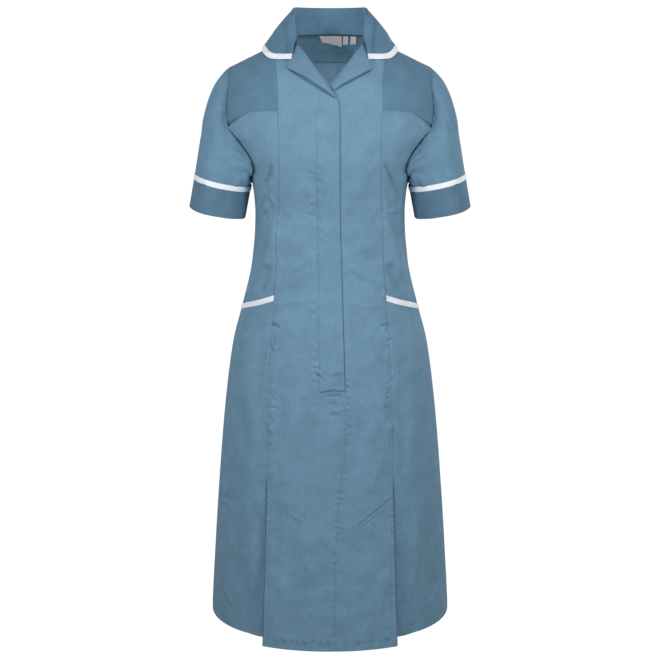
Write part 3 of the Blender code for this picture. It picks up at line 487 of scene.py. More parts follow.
def cloth_finish(name, colour, crumple=0.85, sheen=0.03, roughness=0.85):
    """Polyester and cotton: plain weave, soft mottling, faint creasing, and painted shade in seams and under edges."""
    material = bpy.data.materials.new(name)
    material.use_nodes = True
    nodes = material.node_tree.nodes
    links = material.node_tree.links
    shader = nodes["Principled BSDF"]
    shader.inputs["Sheen Weight"].default_value = sheen
    shader.inputs["Sheen Roughness"].default_value = 0.5
    shader.inputs["Specular IOR Level"].default_value = 0.25
    uv = nodes.new("ShaderNodeUVMap")
    uv.uv_map = "weave"
    weave = nodes.new("ShaderNodeGroup")
    weave.node_tree = WEAVE
    weave.inputs["Pitch"].default_value = 0.00052
    weave.inputs["Unevenness"].default_value = 0.35
    links.new(uv.outputs[0], weave.inputs["Vector"])
    spot = nodes.new("ShaderNodeTexCoord").outputs["Object"]
    cloudy = noise_node(nodes, links, stretched(nodes, links, spot, (26, 26, 34)), 1.0, 5.0, 0.62)
    streaky = noise_node(nodes, links, stretched(nodes, links, spot, (230, 230, 42)), 1.0, 2.0)
    fine = noise_node(nodes, links, spot, 120.0, 3.0)
    blend = math_node(nodes, links, "MULTIPLY", cloudy, 0.52)
    blend = math_node(nodes, links, "ADD", blend, math_node(nodes, links, "MULTIPLY", streaky, 0.18))
    blend = math_node(nodes, links, "ADD", blend, math_node(nodes, links, "MULTIPLY", fine, 0.1))
    blend = math_node(nodes, links, "ADD", blend, math_node(nodes, links, "MULTIPLY", weave.outputs["Shade"], 0.2))
    tone = nodes.new("ShaderNodeValToRGB")
    tone.color_ramp.elements[0].position = 0.32
    tone.color_ramp.elements[1].position = 0.68
    tone.color_ramp.elements[0].color = (*(c * (1 - 0.17) for c in colour), 1)
    tone.color_ramp.elements[1].color = (*(c * (1 + 0.15) for c in colour), 1)
    links.new(blend, tone.inputs[0])
    # The seam attribute carries painted shade from seams, edges and gaps, mixing the colour towards the deepest tone.
    seam = nodes.new("ShaderNodeAttribute")
    seam.attribute_name = "seam"
    painted_shade_mix = nodes.new("ShaderNodeMix")
    painted_shade_mix.data_type = "RGBA"
    painted_shade_mix.blend_type = "MIX"
    painted_shade_mix.inputs["B"].default_value = (*(c * DEEP_SHADE for c in colour), 1)
    links.new(tone.outputs[0], painted_shade_mix.inputs["A"])
    links.new(math_node(nodes, links, "MULTIPLY", seam.outputs["Fac"], 0.8), painted_shade_mix.inputs["Factor"])
    links.new(painted_shade_mix.outputs["Result"], shader.inputs["Base Color"])
    rough = math_node(nodes, links, "MULTIPLY", fine, 0.12)
    links.new(math_node(nodes, links, "ADD", rough, roughness - 0.06), shader.inputs["Roughness"])
    crumpled = noise_node(nodes, links, spot, 26.0, 6.0, 0.62)
    soft = nodes.new("ShaderNodeBump")
    soft.inputs["Distance"].default_value = 0.005
    soft.inputs["Strength"].default_value = crumple
    links.new(crumpled, soft.inputs["Height"])
    threads = nodes.new("ShaderNodeBump")
    threads.inputs["Distance"].default_value = 0.00012
    threads.inputs["Strength"].default_value = 0.6
    links.new(weave.outputs["Height"], threads.inputs["Height"])
    links.new(soft.outputs[0], threads.inputs["Normal"])
    links.new(threads.outputs[0], shader.inputs["Normal"])
    return material


def sew(name, grid, finish, node=None, thickness=CLOTH, closed=False, seams=("first", "last"), shade=0):
    """A piece of cloth: the grid as its outer face with a wall behind it, in metres, with its UV map."""
    rows, columns = grid.shape[:2]
    last = columns if closed else columns - 1
    i, j = np.meshgrid(np.arange(rows - 1), np.arange(last), indexing="ij")
    k = (j + 1) % columns
    faces = np.stack((i * columns + j, i * columns + k, (i + 1) * columns + k, (i + 1) * columns + j), axis=-1)
    faces = faces.reshape(-1, 4)
    points = (grid.reshape(-1, 3) - (0, 0, ORIGIN_HEIGHT)) * MM
    mesh = bpy.data.meshes.new(name)
    mesh.from_pydata(points.tolist(), [], faces.tolist())
    wide = np.linalg.norm(np.diff(grid, axis=1, append=grid[:, :1]), axis=2)
    long = np.linalg.norm(np.diff(grid, axis=0), axis=2).mean(axis=1)
    u = np.hstack((np.zeros((rows, 1)), np.cumsum(wide, axis=1)))
    u = (u - u[:, [columns // 2]]) * MM
    v = np.concatenate(([0], np.cumsum(long))) * MM
    layer = mesh.uv_layers.new(name="weave")
    corners = np.stack((u[i, j], v[i], u[i, j + 1], v[i], u[i + 1, j + 1], v[i + 1], u[i + 1, j], v[i + 1]), axis=-1)
    layer.data.foreach_set("uv", corners.reshape(-1).astype(np.float32))
    # The seam attribute holds painted shade: along the named seams, plus the shadows given under edges and in gaps.
    seam = mesh.attributes.new("seam", "FLOAT", "POINT")
    dark = shade - edge_groove(grid, seams, SEAM_SHADE, 0.9)
    seam.data.foreach_set("value", np.clip(dark, 0, 1).reshape(-1).astype(np.float32))
    mesh.materials.append(finish)
    piece = bpy.data.objects.new(f"sewn_{name}", mesh)
    bpy.context.scene.collection.objects.link(piece)
    wall = piece.modifiers.new("wall", "SOLIDIFY")
    wall.thickness = thickness * MM
    wall.offset = -1
    bpy.ops.object.select_all(action="DESELECT")
    piece.select_set(True)
    bpy.context.view_layer.objects.active = piece
    bpy.ops.object.modifier_apply(modifier="wall")
    bpy.ops.object.shade_smooth_by_angle(angle=math.radians(50))
    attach(piece, "root")
    if node:
        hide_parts(node)
    return piece


# Row spacing up the fronts, closer where small creases lie: from each height on.
FRONT_ROWS = ((-8, 2.6), (16, 3.2), (205, 2.1), (275, 3), (385, 2.1), (640, 3), (695, 2.3), (885, 3.2), (965, 3))


def build_fronts():
    """Both centre fronts, the left one sunk under the right one's lap."""
    levels = [np.arange(low, high - step / 2, step) for (low, step), (high, _) in zip(FRONT_ROWS, FRONT_ROWS[1:])]
    levels = np.concatenate(([CENTRE_HEM + 0.8], *levels, [YOKE_START]))
    levels.sort()
    shares = np.linspace(0, 1, 52)[1:]
    yoke = line(FRONT, [p for p in PRINCESS_FRONT if p[1] >= YOKE_START])(shares)
    outer = np.vstack((place(FRONT, princess(levels), levels), yoke))
    edges = {"front_right": CENTRE_SEAM + FLY_EDGE + RIGHT_ROLL, "front_left": CENTRE_SEAM + UNDERLAP_EDGE + LEFT_ROLL}
    made = {}
    for name, edge in edges.items():
        rows = [(h, x) for x, h in edge]
        under = 1.6 * (1 - ramp((levels - 446) / 20)) if name == "front_left" else 0
        low = place(FRONT, smooth(rows, 1, levels) - under, levels)
        start = (float(smooth(rows, 1, YOKE_START)), YOKE_START)
        high = line(FRONT, [start, *[p for p in edge if p[1] > YOKE_START + 3]])(shares)
        inner = np.vstack((low, high))
        if name == "front_right":
            side = outer * (-1, 1)
            between = smooth([(h, x) for x, h in FLY_STITCHING], 1, levels)
        else:
            side = outer
            between = right_front_edge(levels) + 1.2 + 30 * (1 - ramp((levels - 430) / 36))
        middle = place(FRONT, between, levels)
        part = (middle[-1, 0] - low[-1, 0]) / (side[len(low) - 1, 0] - low[-1, 0])
        middle = np.vstack((middle, high + (side[len(low):] - high) * part))
        grid = np.hstack((patch(FRONT, side, middle, 2.5), patch(FRONT, middle, inner, 2.5)[:, 1:]))
        grid = faced_out(grid)
        across = grid[..., 0]
        height = grid[..., 2]
        rise = kick_lift(height) + front_relief(across, height)
        over = right_front_edge(height) - across
        (low_x, low_h), (point_x, point_h) = (RIGHT_LAPEL if name == "front_right" else LEFT_LAPEL)[:2]
        slope = (point_h - low_h) / (point_x - low_x)
        below = low_h + (across - low_x) * slope - height
        spread = ramp((across - min(low_x, point_x) + 3) / 6) * ramp((max(low_x, point_x) + 1 - across) / 4)
        # Painted shadow under the lapel's lower edge.
        shade = (1.0 if name == "front_right" else 0.8) * np.exp(-((below + 0.6) / 2.5) ** 2) * spread
        if name == "front_left":
            fastened = ramp((height - 452) / 16)
            rise -= (0.6 * ramp((over + 14) / 12) + 1.0 * ramp((over + 2.2) / 1.6)) * fastened
            rise -= 1.3 * ramp((over + 0.2) / 0.8) * (1 - fastened)
            # Painted shadow on the left front beside the right front's lapped edge.
            shade += 0.2 * np.exp(-((over + 0.5) / 1.4) ** 2) * fastened * (1 - ramp((height - 985) / 20))
        else:
            lapped = ramp((height - 455) / 20) * (1 - ramp((height - 985) / 20))
            rise += 0.7 * np.exp(-((over - 4) / 7) ** 2) * lapped
        seams = ("first",) if name == "front_right" else ("last",)
        rise += edge_groove(grid, seams, 0.9, 1.5) * ramp((height - 285) / 30)
        free = 1 - ramp((height - 282) / 22)
        # Painted shadow on the panel's edge where it stands away over the kick pleat, and painted shade on the kick
        # stitching.
        shade += -0.95 * edge_groove(grid, seams, 1.0, 1.1) * free + kick_shade(across, height)
        # Painted shade over the end of the fly.
        shade += 0.14 * np.exp(-(((across - 13) / 13) ** 2) - ((height - 487) / 15) ** 2)
        if name == "front_right":
            # Painted shade beside the centre seam below the fly.
            shade += 0.15 * np.exp(-((over - 0.4) / 0.9) ** 2) * ramp((452 - height) / 10)
        made[name] = sew(name, moved(grid, rise), CLOTH_FINISH, name, seams=seams, shade=shade)
    return made


CLOTH_COLOUR = (0.138, 0.263, 0.374)
CLOTH_FINISH = cloth_finish("blue_cloth", CLOTH_COLOUR)
fronts = build_fronts()


# The lapels
# Each front's top edge, faced and turned back along the roll line to lie on the chest, with its edge
# stitched close to the fold of the seam.

def build_lapels():
    rows = np.linspace(0, 1, 46)
    made = []
    for name, (low, point, notch, top, start), roll in (
        ("lapel_right", RIGHT_LAPEL, RIGHT_ROLL), ("lapel_left", LEFT_LAPEL, LEFT_ROLL),
    ):
        outer = line(FRONT, (low, point))(rows)
        rolled = line(FRONT, (start, roll[1], top))(rows)
        grid = patch(FRONT, outer, rolled, 2.4, line(FRONT, (low, start)), line(FRONT, (point, notch, top)), (0.6, 1.4, 2.4))
        off = np.linalg.norm(grid - grid[:, -1:], axis=2)
        from_edge = np.linalg.norm(grid - grid[:, :1], axis=2)
        if (normals(grid) * grid * (1, 1, 0)).sum() < 0:
            grid = grid[:, ::-1]
            off = off[:, ::-1]
            from_edge = from_edge[:, ::-1]
        width = off + from_edge
        share = off / np.maximum(width, 1)
        puff = 2.0 * np.sin(np.pi * share) * np.sqrt(np.clip(1 - 0.98 * rows[:, None], 0, 1))
        height = CLOTH + 0.9 + puff + 2.2 * share**2 * ramp(rows[:, None] * 3) + 0.5 * ramp(rows[:, None] * 4)
        height = height - (CLOTH + 1.6) * np.exp(-((off / 1.6) ** 2))
        relief = front_relief(grid[..., 0], grid[..., 2]) * 0.6
        made.append(sew(name, moved(grid, height + relief), LAPEL_FINISH, name, seams=()))
    return made


LAPEL_FINISH = cloth_finish("lapel_cloth", (0.122, 0.237, 0.338))
for piece in build_lapels():
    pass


# The front yokes
# Shoulder panels between the princess seam and the armhole, cut across the grain, so they look darker.

FRONT_YOKE_SEAM = ((91.3, 965), (118, 964), (139, 961), (162, 947), (181.5, 932))
ARMHOLE_FRONT = (
    (146, 845), (141, 848), (136.5, 855), (136, 862), (139, 871), (152, 891), (168, 912), (181.5, 932),
    (184.4, 953), (183.4, 979), (181, 1003), (182.7, SHOULDER),
)


def both_sides(name, grid, relief, finish, borders, shade=None):
    """The wearer's left piece from this grid, and the right one from its mirror image."""
    made = []
    for side in ("left", "right"):
        half = grid if side == "left" else grid * (-1, 1, 1)
        swap = {"first": "last", "last": "first"}
        turned = (normals(half) * half * (1, 1, 0)).sum() < 0
        half = half[:, ::-1] if turned else half
        named = [swap.get(b, b) if turned else b for b in borders]
        rise = relief(half[..., 0], half[..., 2]) + edge_groove(half, named, 0.9, 1.9)
        dark = shade(np.abs(half[..., 0]), half[..., 2]) if shade else 0
        made.append(sew(f"{name}_{side}", moved(half, rise), finish, f"{name}_{side}", seams=named, shade=dark))
    return made


def build_front_yokes():
    shares = np.linspace(0, 1, 52)
    armhole = line(FRONT, [p for p in ARMHOLE_FRONT if p[1] >= 932])(shares)
    near = line(FRONT, [p for p in PRINCESS_FRONT if p[1] >= YOKE_START])(shares)
    grid = patch(FRONT, near, armhole, 3, low=line(FRONT, FRONT_YOKE_SEAM))
    return both_sides("front_yoke", grid, front_relief, YOKE_FINISH, ("first", "last", "high"))


YOKE_FINISH = cloth_finish("yoke_cloth", (0.095, 0.197, 0.287))
for piece in build_front_yokes():
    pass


# The side fronts and the hip pockets
# The side panels are in two pieces: the upper one runs down behind the pocket mouth, and the lower one
# ends there in a slanting edge, bound with white tape that is folded over it and stitched along both sides.

POCKET_MOUTH = ((100.8, 633.6), (129, 621), (161.6, 598))
POCKET_DEPTH = 30
BINDING_WIDTH = 9.5
BINDING = 0.7


def pocket_mouth(drop=0):
    """The slanting mouth of the hip pocket, or a line that far below it."""
    (in_x, in_h), (middle_x, middle_h), (out_x, out_h) = POCKET_MOUTH
    return line(FRONT, (
        (float(princess(in_h - drop)), in_h - drop),
        (middle_x + drop * 0.2, middle_h - drop),
        (float(girth("half_width", out_h - drop)) + 1, out_h - drop),
    ))


def side_seam(face, heights):
    return place(face, girth("half_width", heights) + 1, heights)


def build_side_fronts():
    mouth_in = POCKET_MOUTH[0][1]
    mouth_out = POCKET_MOUTH[-1][1]
    levels = np.linspace(mouth_in - POCKET_DEPTH, YOKE_START, 122)
    near = place(FRONT, princess(levels), levels)
    armhole = line(FRONT, [p for p in ARMHOLE_FRONT if p[1] <= 932])(np.linspace(0, 1, 42))
    far = np.vstack((side_seam(FRONT, np.linspace(mouth_out - POCKET_DEPTH, 845, 81)), armhole[1:]))
    grid = patch(FRONT, near, far, 2.8, pocket_mouth(POCKET_DEPTH), line(FRONT, FRONT_YOKE_SEAM))
    slope = (mouth_in - mouth_out) / (POCKET_MOUTH[-1][0] - POCKET_MOUTH[0][0])

    def under_mouth(across, height):
        above = height - (mouth_in - (np.abs(across) - POCKET_MOUTH[0][0]) * slope)
        return front_relief(across, height) - 2.2 * ramp((26 - above) / 18)

    def under_arm(across, height):
        """The shadow between the side and the underarm of the sleeve."""
        rows = sorted((h, x) for x, h in ARMHOLE_FRONT[3:8])
        off = across - smooth(rows, 1, height)
        width = 1.4 + 3.4 * ramp((896 - height) / 30)
        return 0.95 * np.exp(-((off / width) ** 2)) * ramp((898 - height) / 26) * ramp((height - 846) / 6)

    made = both_sides("side_front_upper", grid, under_mouth, CLOTH_FINISH, ("first", "last", "high"), under_arm)

    levels = np.concatenate((steps(mouth_in, 3, (1, 2.4, 4.4))[:-4], [mouth_in - 4.4, mouth_in - 2, mouth_in]))
    near = place(FRONT, princess(levels), levels)
    far = side_seam(FRONT, levels * mouth_out / mouth_in)
    grid = patch(FRONT, near, far, 2.8, high=pocket_mouth())

    def beside_pleat(across, height):
        """The shadow beside the centre front, where it stands away over the kick pleat."""
        reach = 1.8 + 3 * ramp((300 - height) / 250)
        return np.exp(-(((across - princess(height)) / reach) ** 2)) * ramp((312 - height) / 40)

    made += both_sides("side_front_lower", grid, front_relief, CLOTH_FINISH, ("first", "last"), beside_pleat)
    return made, grid


def ribbon(edge, inward, out, width, count=7, closed=False, crown=0.5):
    """A strip of tape from an edge inwards, laid this far out from the cloth, a little fuller in the middle."""
    shares = np.linspace(0, 1, count)
    grid = edge[None] + (inward * width)[None] * shares[:, None, None]
    lift = crown * np.sin(np.pi * shares) ** 0.7
    return grid + out[None] * (1 + lift[:, None, None])


side_fronts, lower_grid = build_side_fronts()
TAPE_COLOUR = (0.80, 0.83, 0.88)
TAPE_FINISH = cloth_finish("white_tape", TAPE_COLOUR, crumple=0.12, sheen=0.2, roughness=0.7)


def bind_pockets():
    """The white tape along both pocket mouths, laid on the lower side fronts' top edge."""
    grid = lower_grid[:, ::-1] if (normals(lower_grid) * lower_grid * (1, 1, 0)).sum() < 0 else lower_grid
    grid = moved(grid, front_relief(grid[..., 0], grid[..., 2]))
    inward = grid[-4] - grid[-1]
    inward = inward / np.linalg.norm(inward, axis=-1, keepdims=True)
    out = normals(grid)[-2] * 0.9
    edge = grid[-1] - inward * 0.8
    tape = ribbon(edge, inward, out, BINDING_WIDTH + 0.8)
    made = []
    for side in ("left", "right"):
        half = tape if side == "left" else tape * (-1, 1, 1)
        piece = sew(f"pocket_binding_{side}", faced_out(half), TAPE_FINISH, f"pocket_binding_{side}", 0.8, seams=())
        made.append(piece)
    return made


for piece in bind_pockets():
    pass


# The kick pleats
# Cloth folded away behind the lower edge of each centre front and held by the slanting rows of stitching,
# so that the skirt can open when the wearer walks.

KICK_PLY = 0.9


def build_kick_pleats():
    (out_x, out_h), (in_x, in_h) = KICK_STITCH
    table = np.array((
        # along the fold, across, how far it has passed from the front ply to the back one, and beside the seam
        (0.0, out_x, 0, 0), (0.18, 92, 0, 0), (0.33, 72, 0, 0), (0.44, in_x + 4, 0, 0), (0.47, in_x, 0.12, 0),
        (0.50, in_x - 3, 0.5, 0), (0.53, in_x, 0.88, 0), (0.56, in_x + 4, 1, 0), (0.67, 72, 1, 0),
        (0.80, 92, 1, 0), (0.90, 108, 1, 0), (1.0, 121, 1, 1),
    ))
    at = np.unique(np.concatenate((np.linspace(0, 0.44, 22), np.linspace(0.44, 0.56, 14), np.linspace(0.56, 1, 24))))
    across, layer, behind_side = (smooth(table, k, at) for k in (1, 2, 3))
    top = in_h + (np.clip(across, in_x, out_x) - in_x) * (out_h - in_h) / (out_x - in_x) - 2
    height = 1.5 + np.linspace(0, 1, 84)[:, None] * (top - 1.5)[None]
    width = girth("half_width", height)
    angle = np.degrees(np.arcsin((across / width) ** (SQUARENESS / 2)))
    base = body(FRONT, angle, height - CHEST[FRONT])
    outward = base * (0.35, 1, 0)
    outward = outward / np.linalg.norm(outward, axis=-1, keepdims=True)
    near = kick_lift(height) - CLOTH - 1.2
    far = -CLOTH - KICK_PLY - 2.3 + 1.3 * behind_side
    relief = front_relief(base[..., 0], base[..., 2])
    grid = base + outward * (near * (1 - layer) + far * layer + relief)[..., None]
    if (normals(grid) * outward)[:, :20].sum() < 0:
        grid = grid[:, ::-1]
    return [
        sew("kick_pleat_left", grid, CLOTH_FINISH, "kick_pleat_left", KICK_PLY, seams=()),
        sew("kick_pleat_right", (grid * (-1, 1, 1))[:, ::-1], CLOTH_FINISH, "kick_pleat_right", KICK_PLY, seams=()),
    ]


for piece in build_kick_pleats():
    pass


# The back
# A yoke across the shoulders, two centre backs with an open pleat between them below the yoke, and two
# shaped side backs. None of it but the yoke's inside shows in the photograph, so it is finished plainly.

ARMHOLE_BACK = (
    (146, 845), (142, 848), (139.5, 856), (141, 868), (150, 890), (163, 912), (173, 938), (177, 965),
    (178.5, 985), (179.5, 1008), (182.7, SHOULDER),
)
PRINCESS_BACK = ((108, 0), (106, 150), (101, 300), (94, 450), (84, 606), (70, 771), (78, 900), (92, 1022))
BACK_YOKE_SEAM = ((0.25, 1035), (50, 1032), (92, 1022), (135, 1006), (178.5, 985))
PLEAT_HALF = 13
NECK_HEIGHT = 1088
NECK_SIDE = 60
PLEAT_DEEP = 470
BACK_FOLDS = (
    (-70, 1000, -30, 880, 15, -1.2), (66, 1004, 26, 890, 14, -1.2), (-120, 960, -60, 860, 15, 1),
    (118, 960, 62, 866, 15, 1), (-128, 830, -108, 770, 9, -1.7), (127, 834, 109, 776, 9, -1.7),
    (-118, 810, -92, 742, 8, 1.5), (119, 808, 94, 748, 8, 1.5), (-60, 800, -16, 778, 9, -1.2),
    (62, 796, 20, 784, 9, -1.2), (-84, 764, -22, 756, 8, 1.2), (80, 760, 24, 750, 8, 1.2),
    (-76, 734, -30, 716, 9, -1.2), (72, 730, 28, 722, 9, -1), (-110, 700, -128, 610, 11, 1.8),
    (109, 698, 127, 602, 11, 1.8), (-96, 640, -110, 520, 12, -1.7), (94, 640, 112, 526, 12, -1.7),
    (-50, 640, -58, 500, 18, 1.4), (52, 632, 56, 490, 18, 1.4), (-140, 540, -156, 380, 16, 2),
    (141, 540, 157, 372, 16, 2), (-88, 460, -96, 300, 15, -1.8), (90, 452, 98, 296, 15, -1.8),
    (-44, 420, -52, 250, 18, 1.5), (40, 410, 50, 236, 18, 1.5), (-168, 380, -184, 160, 17, -2.1),
    (168, 372, 184, 150, 17, -2.1), (-128, 330, -138, 130, 14, 2.2), (130, 320, 138, 120, 14, 2.2),
    (-70, 260, -76, 80, 16, -1.8), (72, 250, 78, 70, 16, -1.8), (-196, 190, -206, 30, 12, 1.8),
    (196, 186, 206, 30, 12, 1.8), (-110, 110, -116, 0, 10, 1.7), (112, 110, 118, 0, 10, 1.7),
    (-34, 90, -38, 0, 10, 1.4), (36, 84, 38, 0, 10, 1.4), (-150, 80, -154, 0, 10, -1.7), (152, 80, 156, 0, 10, -1.7),
    (-168, 950, -150, 920, 6, -1.5), (168, 950, 150, 920, 6, -1.5),
)
BACK_PUCKERS = ((40, 450, 16, 5, 4, 0.4), (450, 640, 13, 8, 6, 0.6), (640, 960, 16, 6, 5, 0.4))
YOKE_DRAGS = (
    (8, 1066, 44, 1056, 4, 1.8), (10, 1053, 50, 1047, 3.4, -2.2), (-50, 1066, -14, 1052, 7, 1.1),
    (-40, 1052, 0, 1046, 6, -0.9), (-4, 1060, 14, 1050, 4, -1), (-90, 1050, -120, 1020, 12, -0.7),
    (90, 1050, 122, 1018, 12, -0.7),
)


def back_relief(across, height):
    """How far the sewing and the folds bring the back's cloth out."""
    out = folded(across, height, BACK_FOLDS)
    seam = smooth([(h, x) for x, h in PRINCESS_BACK], 1, height)
    for side, seed in ((-1, 21), (1, 22)):
        off = seam - side * across
        near = (np.abs(off) < 60) & (height < 1015)
        out += np.where(near, puckered(np.where(near, off, 60), height, BACK_PUCKERS, seed), 0)
    hang = ramp((height - PLEAT_DEEP) / 60) * (1 - ramp((height - 1025) / 12))
    out -= 0.6 * np.exp(-((np.abs(across) - 2) / 3) ** 2) * (1 - 0.6 * hang)
    return out


def build_back_yoke():
    """One piece across both shoulders, from the neck seam and shoulder seams down to the yoke seam."""
    armhole = line(BACK, [p for p in ARMHOLE_BACK if p[1] >= 985])(np.linspace(0, 1, 34))
    half = line(BACK, BACK_YOKE_SEAM)
    ends = np.linspace(0, 1, 80)
    top = place(BACK, np.linspace(0.25, 182.7, 240), CHEST[BACK])[:, 0]
    across = np.linspace(0.25, 182.7, 240)
    neck = np.where(across < NECK_SIDE, place(BACK, across, NECK_HEIGHT)[:, 1], RIDGE)
    low = np.array([place(BACK, x, h) for x, h in BACK_YOKE_SEAM])
    low = half(ends)
    x_low = body(BACK, *low.T)[:, 0]
    share = x_low / x_low[-1]
    high = np.stack((np.interp(share * 182.7, across, top), np.interp(share * 182.7, across, neck)), axis=1)
    low = np.vstack(((low * (-1, 1))[:0:-1], low))
    high = np.vstack(((high * (-1, 1))[:0:-1], high))
    t = np.linspace(0, 1, len(armhole))
    straight = np.linspace(0, 1, len(low))
    sides = body(BACK, *armhole.T)
    grid = []
    for i, part in enumerate(t):
        row = low + (high - low) * part
        bend = armhole[i] - row[-1]
        weight = np.abs(2 * straight - 1)[:, None] ** 3
        grid.append(row + weight * bend * np.stack((np.sign(straight - 0.5), np.ones(len(low))), axis=1))
    grid = np.array(grid)
    grid = faced_out(body(BACK, grid[..., 0], grid[..., 1]))
    relief = folded(grid[..., 0], grid[..., 2], YOKE_DRAGS + BACK_FOLDS)
    rise = relief + edge_groove(grid, ("low", "first", "last"), 0.9, 1.9)
    # Painted shadow under the collar inside the back neck, along the drag fold by the labels, and towards the neck's
    # sides.
    under_collar = np.linalg.norm(grid - grid[-1:], axis=2)
    shade = np.exp(-((under_collar / 13) ** 2)) * (np.abs(grid[..., 0]) < NECK_SIDE + 10)
    drag = np.abs(grid[..., 2] - 1050 + (grid[..., 0] - 30) * 0.16) / 3
    shade += 0.22 * np.exp(-(drag**2)) * ramp((grid[..., 0] - 8) / 14) * ramp((58 - grid[..., 0]) / 8)
    shade += 0.25 * np.exp(-(((np.abs(grid[..., 0]) - 52) / 14) ** 2)) * ramp((grid[..., 2] - 1050) / 20)
    return sew("back_yoke", moved(grid, rise), YOKE_FINISH, "back_yoke", seams=("low", "first", "last"), shade=shade)


def build_backs():
    levels = np.concatenate((steps(985, 4.4, (1, 2.4, 4.4))[:-4], [985]))
    inner_seam = line(BACK, BACK_YOKE_SEAM[:3])
    outer_seam = line(BACK, BACK_YOKE_SEAM[2:])
    rows = [(h, x) for x, h in PRINCESS_BACK]
    top = np.linspace(985, 1022, 11)[1:]
    outer = np.vstack((place(BACK, smooth(rows, 1, levels), levels), place(BACK, smooth(rows, 1, top), top)))
    middle_top = np.linspace(985, 1035, 11)[1:]
    middle = np.vstack((place(BACK, 0.25, levels), place(BACK, 0.25, middle_top)))
    grid = patch(BACK, middle, outer, 4, high=inner_seam)

    def open_pleat(across, height):
        """The centre edges stand away over the pleat between the shoulders and the seat."""
        out = back_relief(across, height)
        hang = ramp((height - PLEAT_DEEP) / 60) * (1 - ramp((height - 1020) / 30))
        return out + 1.6 * hang * np.exp(-((np.abs(across) / 14) ** 2))

    made = both_sides("back", grid, open_pleat, CLOTH_FINISH, ("last", "high"))

    heights = np.concatenate((levels, middle_top[:-1], (1035.6,)))
    edge = place(BACK, PLEAT_HALF, heights)
    strip = faced_out(patch(BACK, edge * (-1, 1), edge, 3, fine=(1.5,)))
    made.append(sew("back_pleat", moved(strip, np.full(strip.shape[:2], -2.4)), CLOTH_FINISH, "back_pleat", KICK_PLY, seams=()))

    armhole = line(BACK, [p for p in ARMHOLE_BACK if p[1] <= 985])(np.linspace(0, 1, 46))
    count = len(outer) - 45
    side = np.vstack((side_seam(BACK, np.linspace(0, 845, count)), armhole[1:]))
    grid = patch(BACK, outer, side, 4, high=outer_seam)
    made += both_sides("side_back", grid, back_relief, CLOTH_FINISH, ("first", "last", "high"))
    return made


yoke = build_back_yoke()
backs = build_backs()


# The sleeves and cuffs
# Short set-in sleeves, eased round the cap, each with a deep turned-up cuff and a white tape stitched over
# the seam between them.

SLEEVE_COLUMNS = ("across", "height", "half_width", "half_depth", "tilt")
SLEEVE_SEAM = (195.6, 827.0, 52.0, 61, 12.5)
SLEEVE_HEM = (206.0, 772.0, 51.8, 61, 11.1)
SLEEVE_AROUND = 132
SLEEVE_RINGS = 62
SHOULDER_PULL = (0.62, 0.0, -0.46)
SIDE_PULL = (0.35, 0.5, -0.5)
UNDERARM_PULL = (-0.06, 0.0, -1.0)

# Folds of a sleeve: the angle round it in degrees, 0 outside and 90 in front, and the share of the way
# down, from a place to a place, then half width in mm and height.
SLEEVE_FOLDS = (
    (150, 0.25, 118, 0.62, 11, -2), (168, 0.35, 140, 0.85, 12, 2), (132, 0.12, 96, 0.34, 10, 1.4),
    (112, 0.06, 80, 0.30, 10, -1.2), (70, 0.10, 56, 0.5, 14, 1.1), (40, 0.22, 36, 0.75, 16, -1.1),
    (12, 0.12, 8, 0.6, 16, 1.1), (88, 0.55, 80, 0.98, 12, -1.2), (128, 0.62, 122, 1.0, 10, 1.4),
    (200, 0.3, 236, 0.7, 12, -2), (190, 0.45, 214, 0.92, 12, 1.9), (228, 0.14, 262, 0.36, 10, 1.4),
    (290, 0.12, 304, 0.55, 15, 1.2), (325, 0.25, 322, 0.75, 15, -1.2), (262, 0.5, 272, 1.0, 13, -1.4),
)


def ring(numbers, around):
    """A ring round the sleeve at these angles: 0 on the outside, 90 in front, 180 under the arm."""
    size = dict(zip(SLEEVE_COLUMNS, numbers))
    tilt = math.radians(size["tilt"])
    wide = size["half_width"] * np.cos(around)
    return np.stack((
        size["across"] + wide * math.cos(tilt),
        -size["half_depth"] * np.sin(around),
        size["height"] + wide * math.sin(tilt),
    ), axis=-1)


def armhole_ring(around):
    """The armhole seam at the same angles."""
    turn = np.degrees(around) % 360
    front = body(FRONT, *line(FRONT, ARMHOLE_FRONT)(np.clip(1 - turn / 180, 0, 1)).T)
    back = body(BACK, *line(BACK, ARMHOLE_BACK)(np.clip(turn / 180 - 1, 0, 1)).T)
    return np.where((turn <= 180)[:, None], front, back)


def sleeve_relief(angle, down, size, side):
    """How far the folds of a sleeve and the easing of its cap move the cloth out."""
    out = np.zeros(np.broadcast(angle, down).shape)
    turn = np.degrees(angle)
    for at, start, to, end, width, depth in SLEEVE_FOLDS:
        if side < 0:
            depth *= 0.85
            start += 0.03
        out += folded(turn * np.ones_like(out), down * 160 + 0 * out, ((at, start * 160, to, end * 160, width, depth),))
    draw = np.random.default_rng(31 if side > 0 else 32)
    at = -130.0
    while at < 130:
        width = draw.uniform(1.6, 3.0)
        away = (np.abs((turn - at + 180) % 360 - 180) / width) ** 2
        out += draw.uniform(0.15, 0.5) * np.exp(-away) * np.exp(-((down * size / draw.uniform(8, 17)) ** 2)) * ramp(down * size / 3)
        at += draw.uniform(6, 12)
    return out


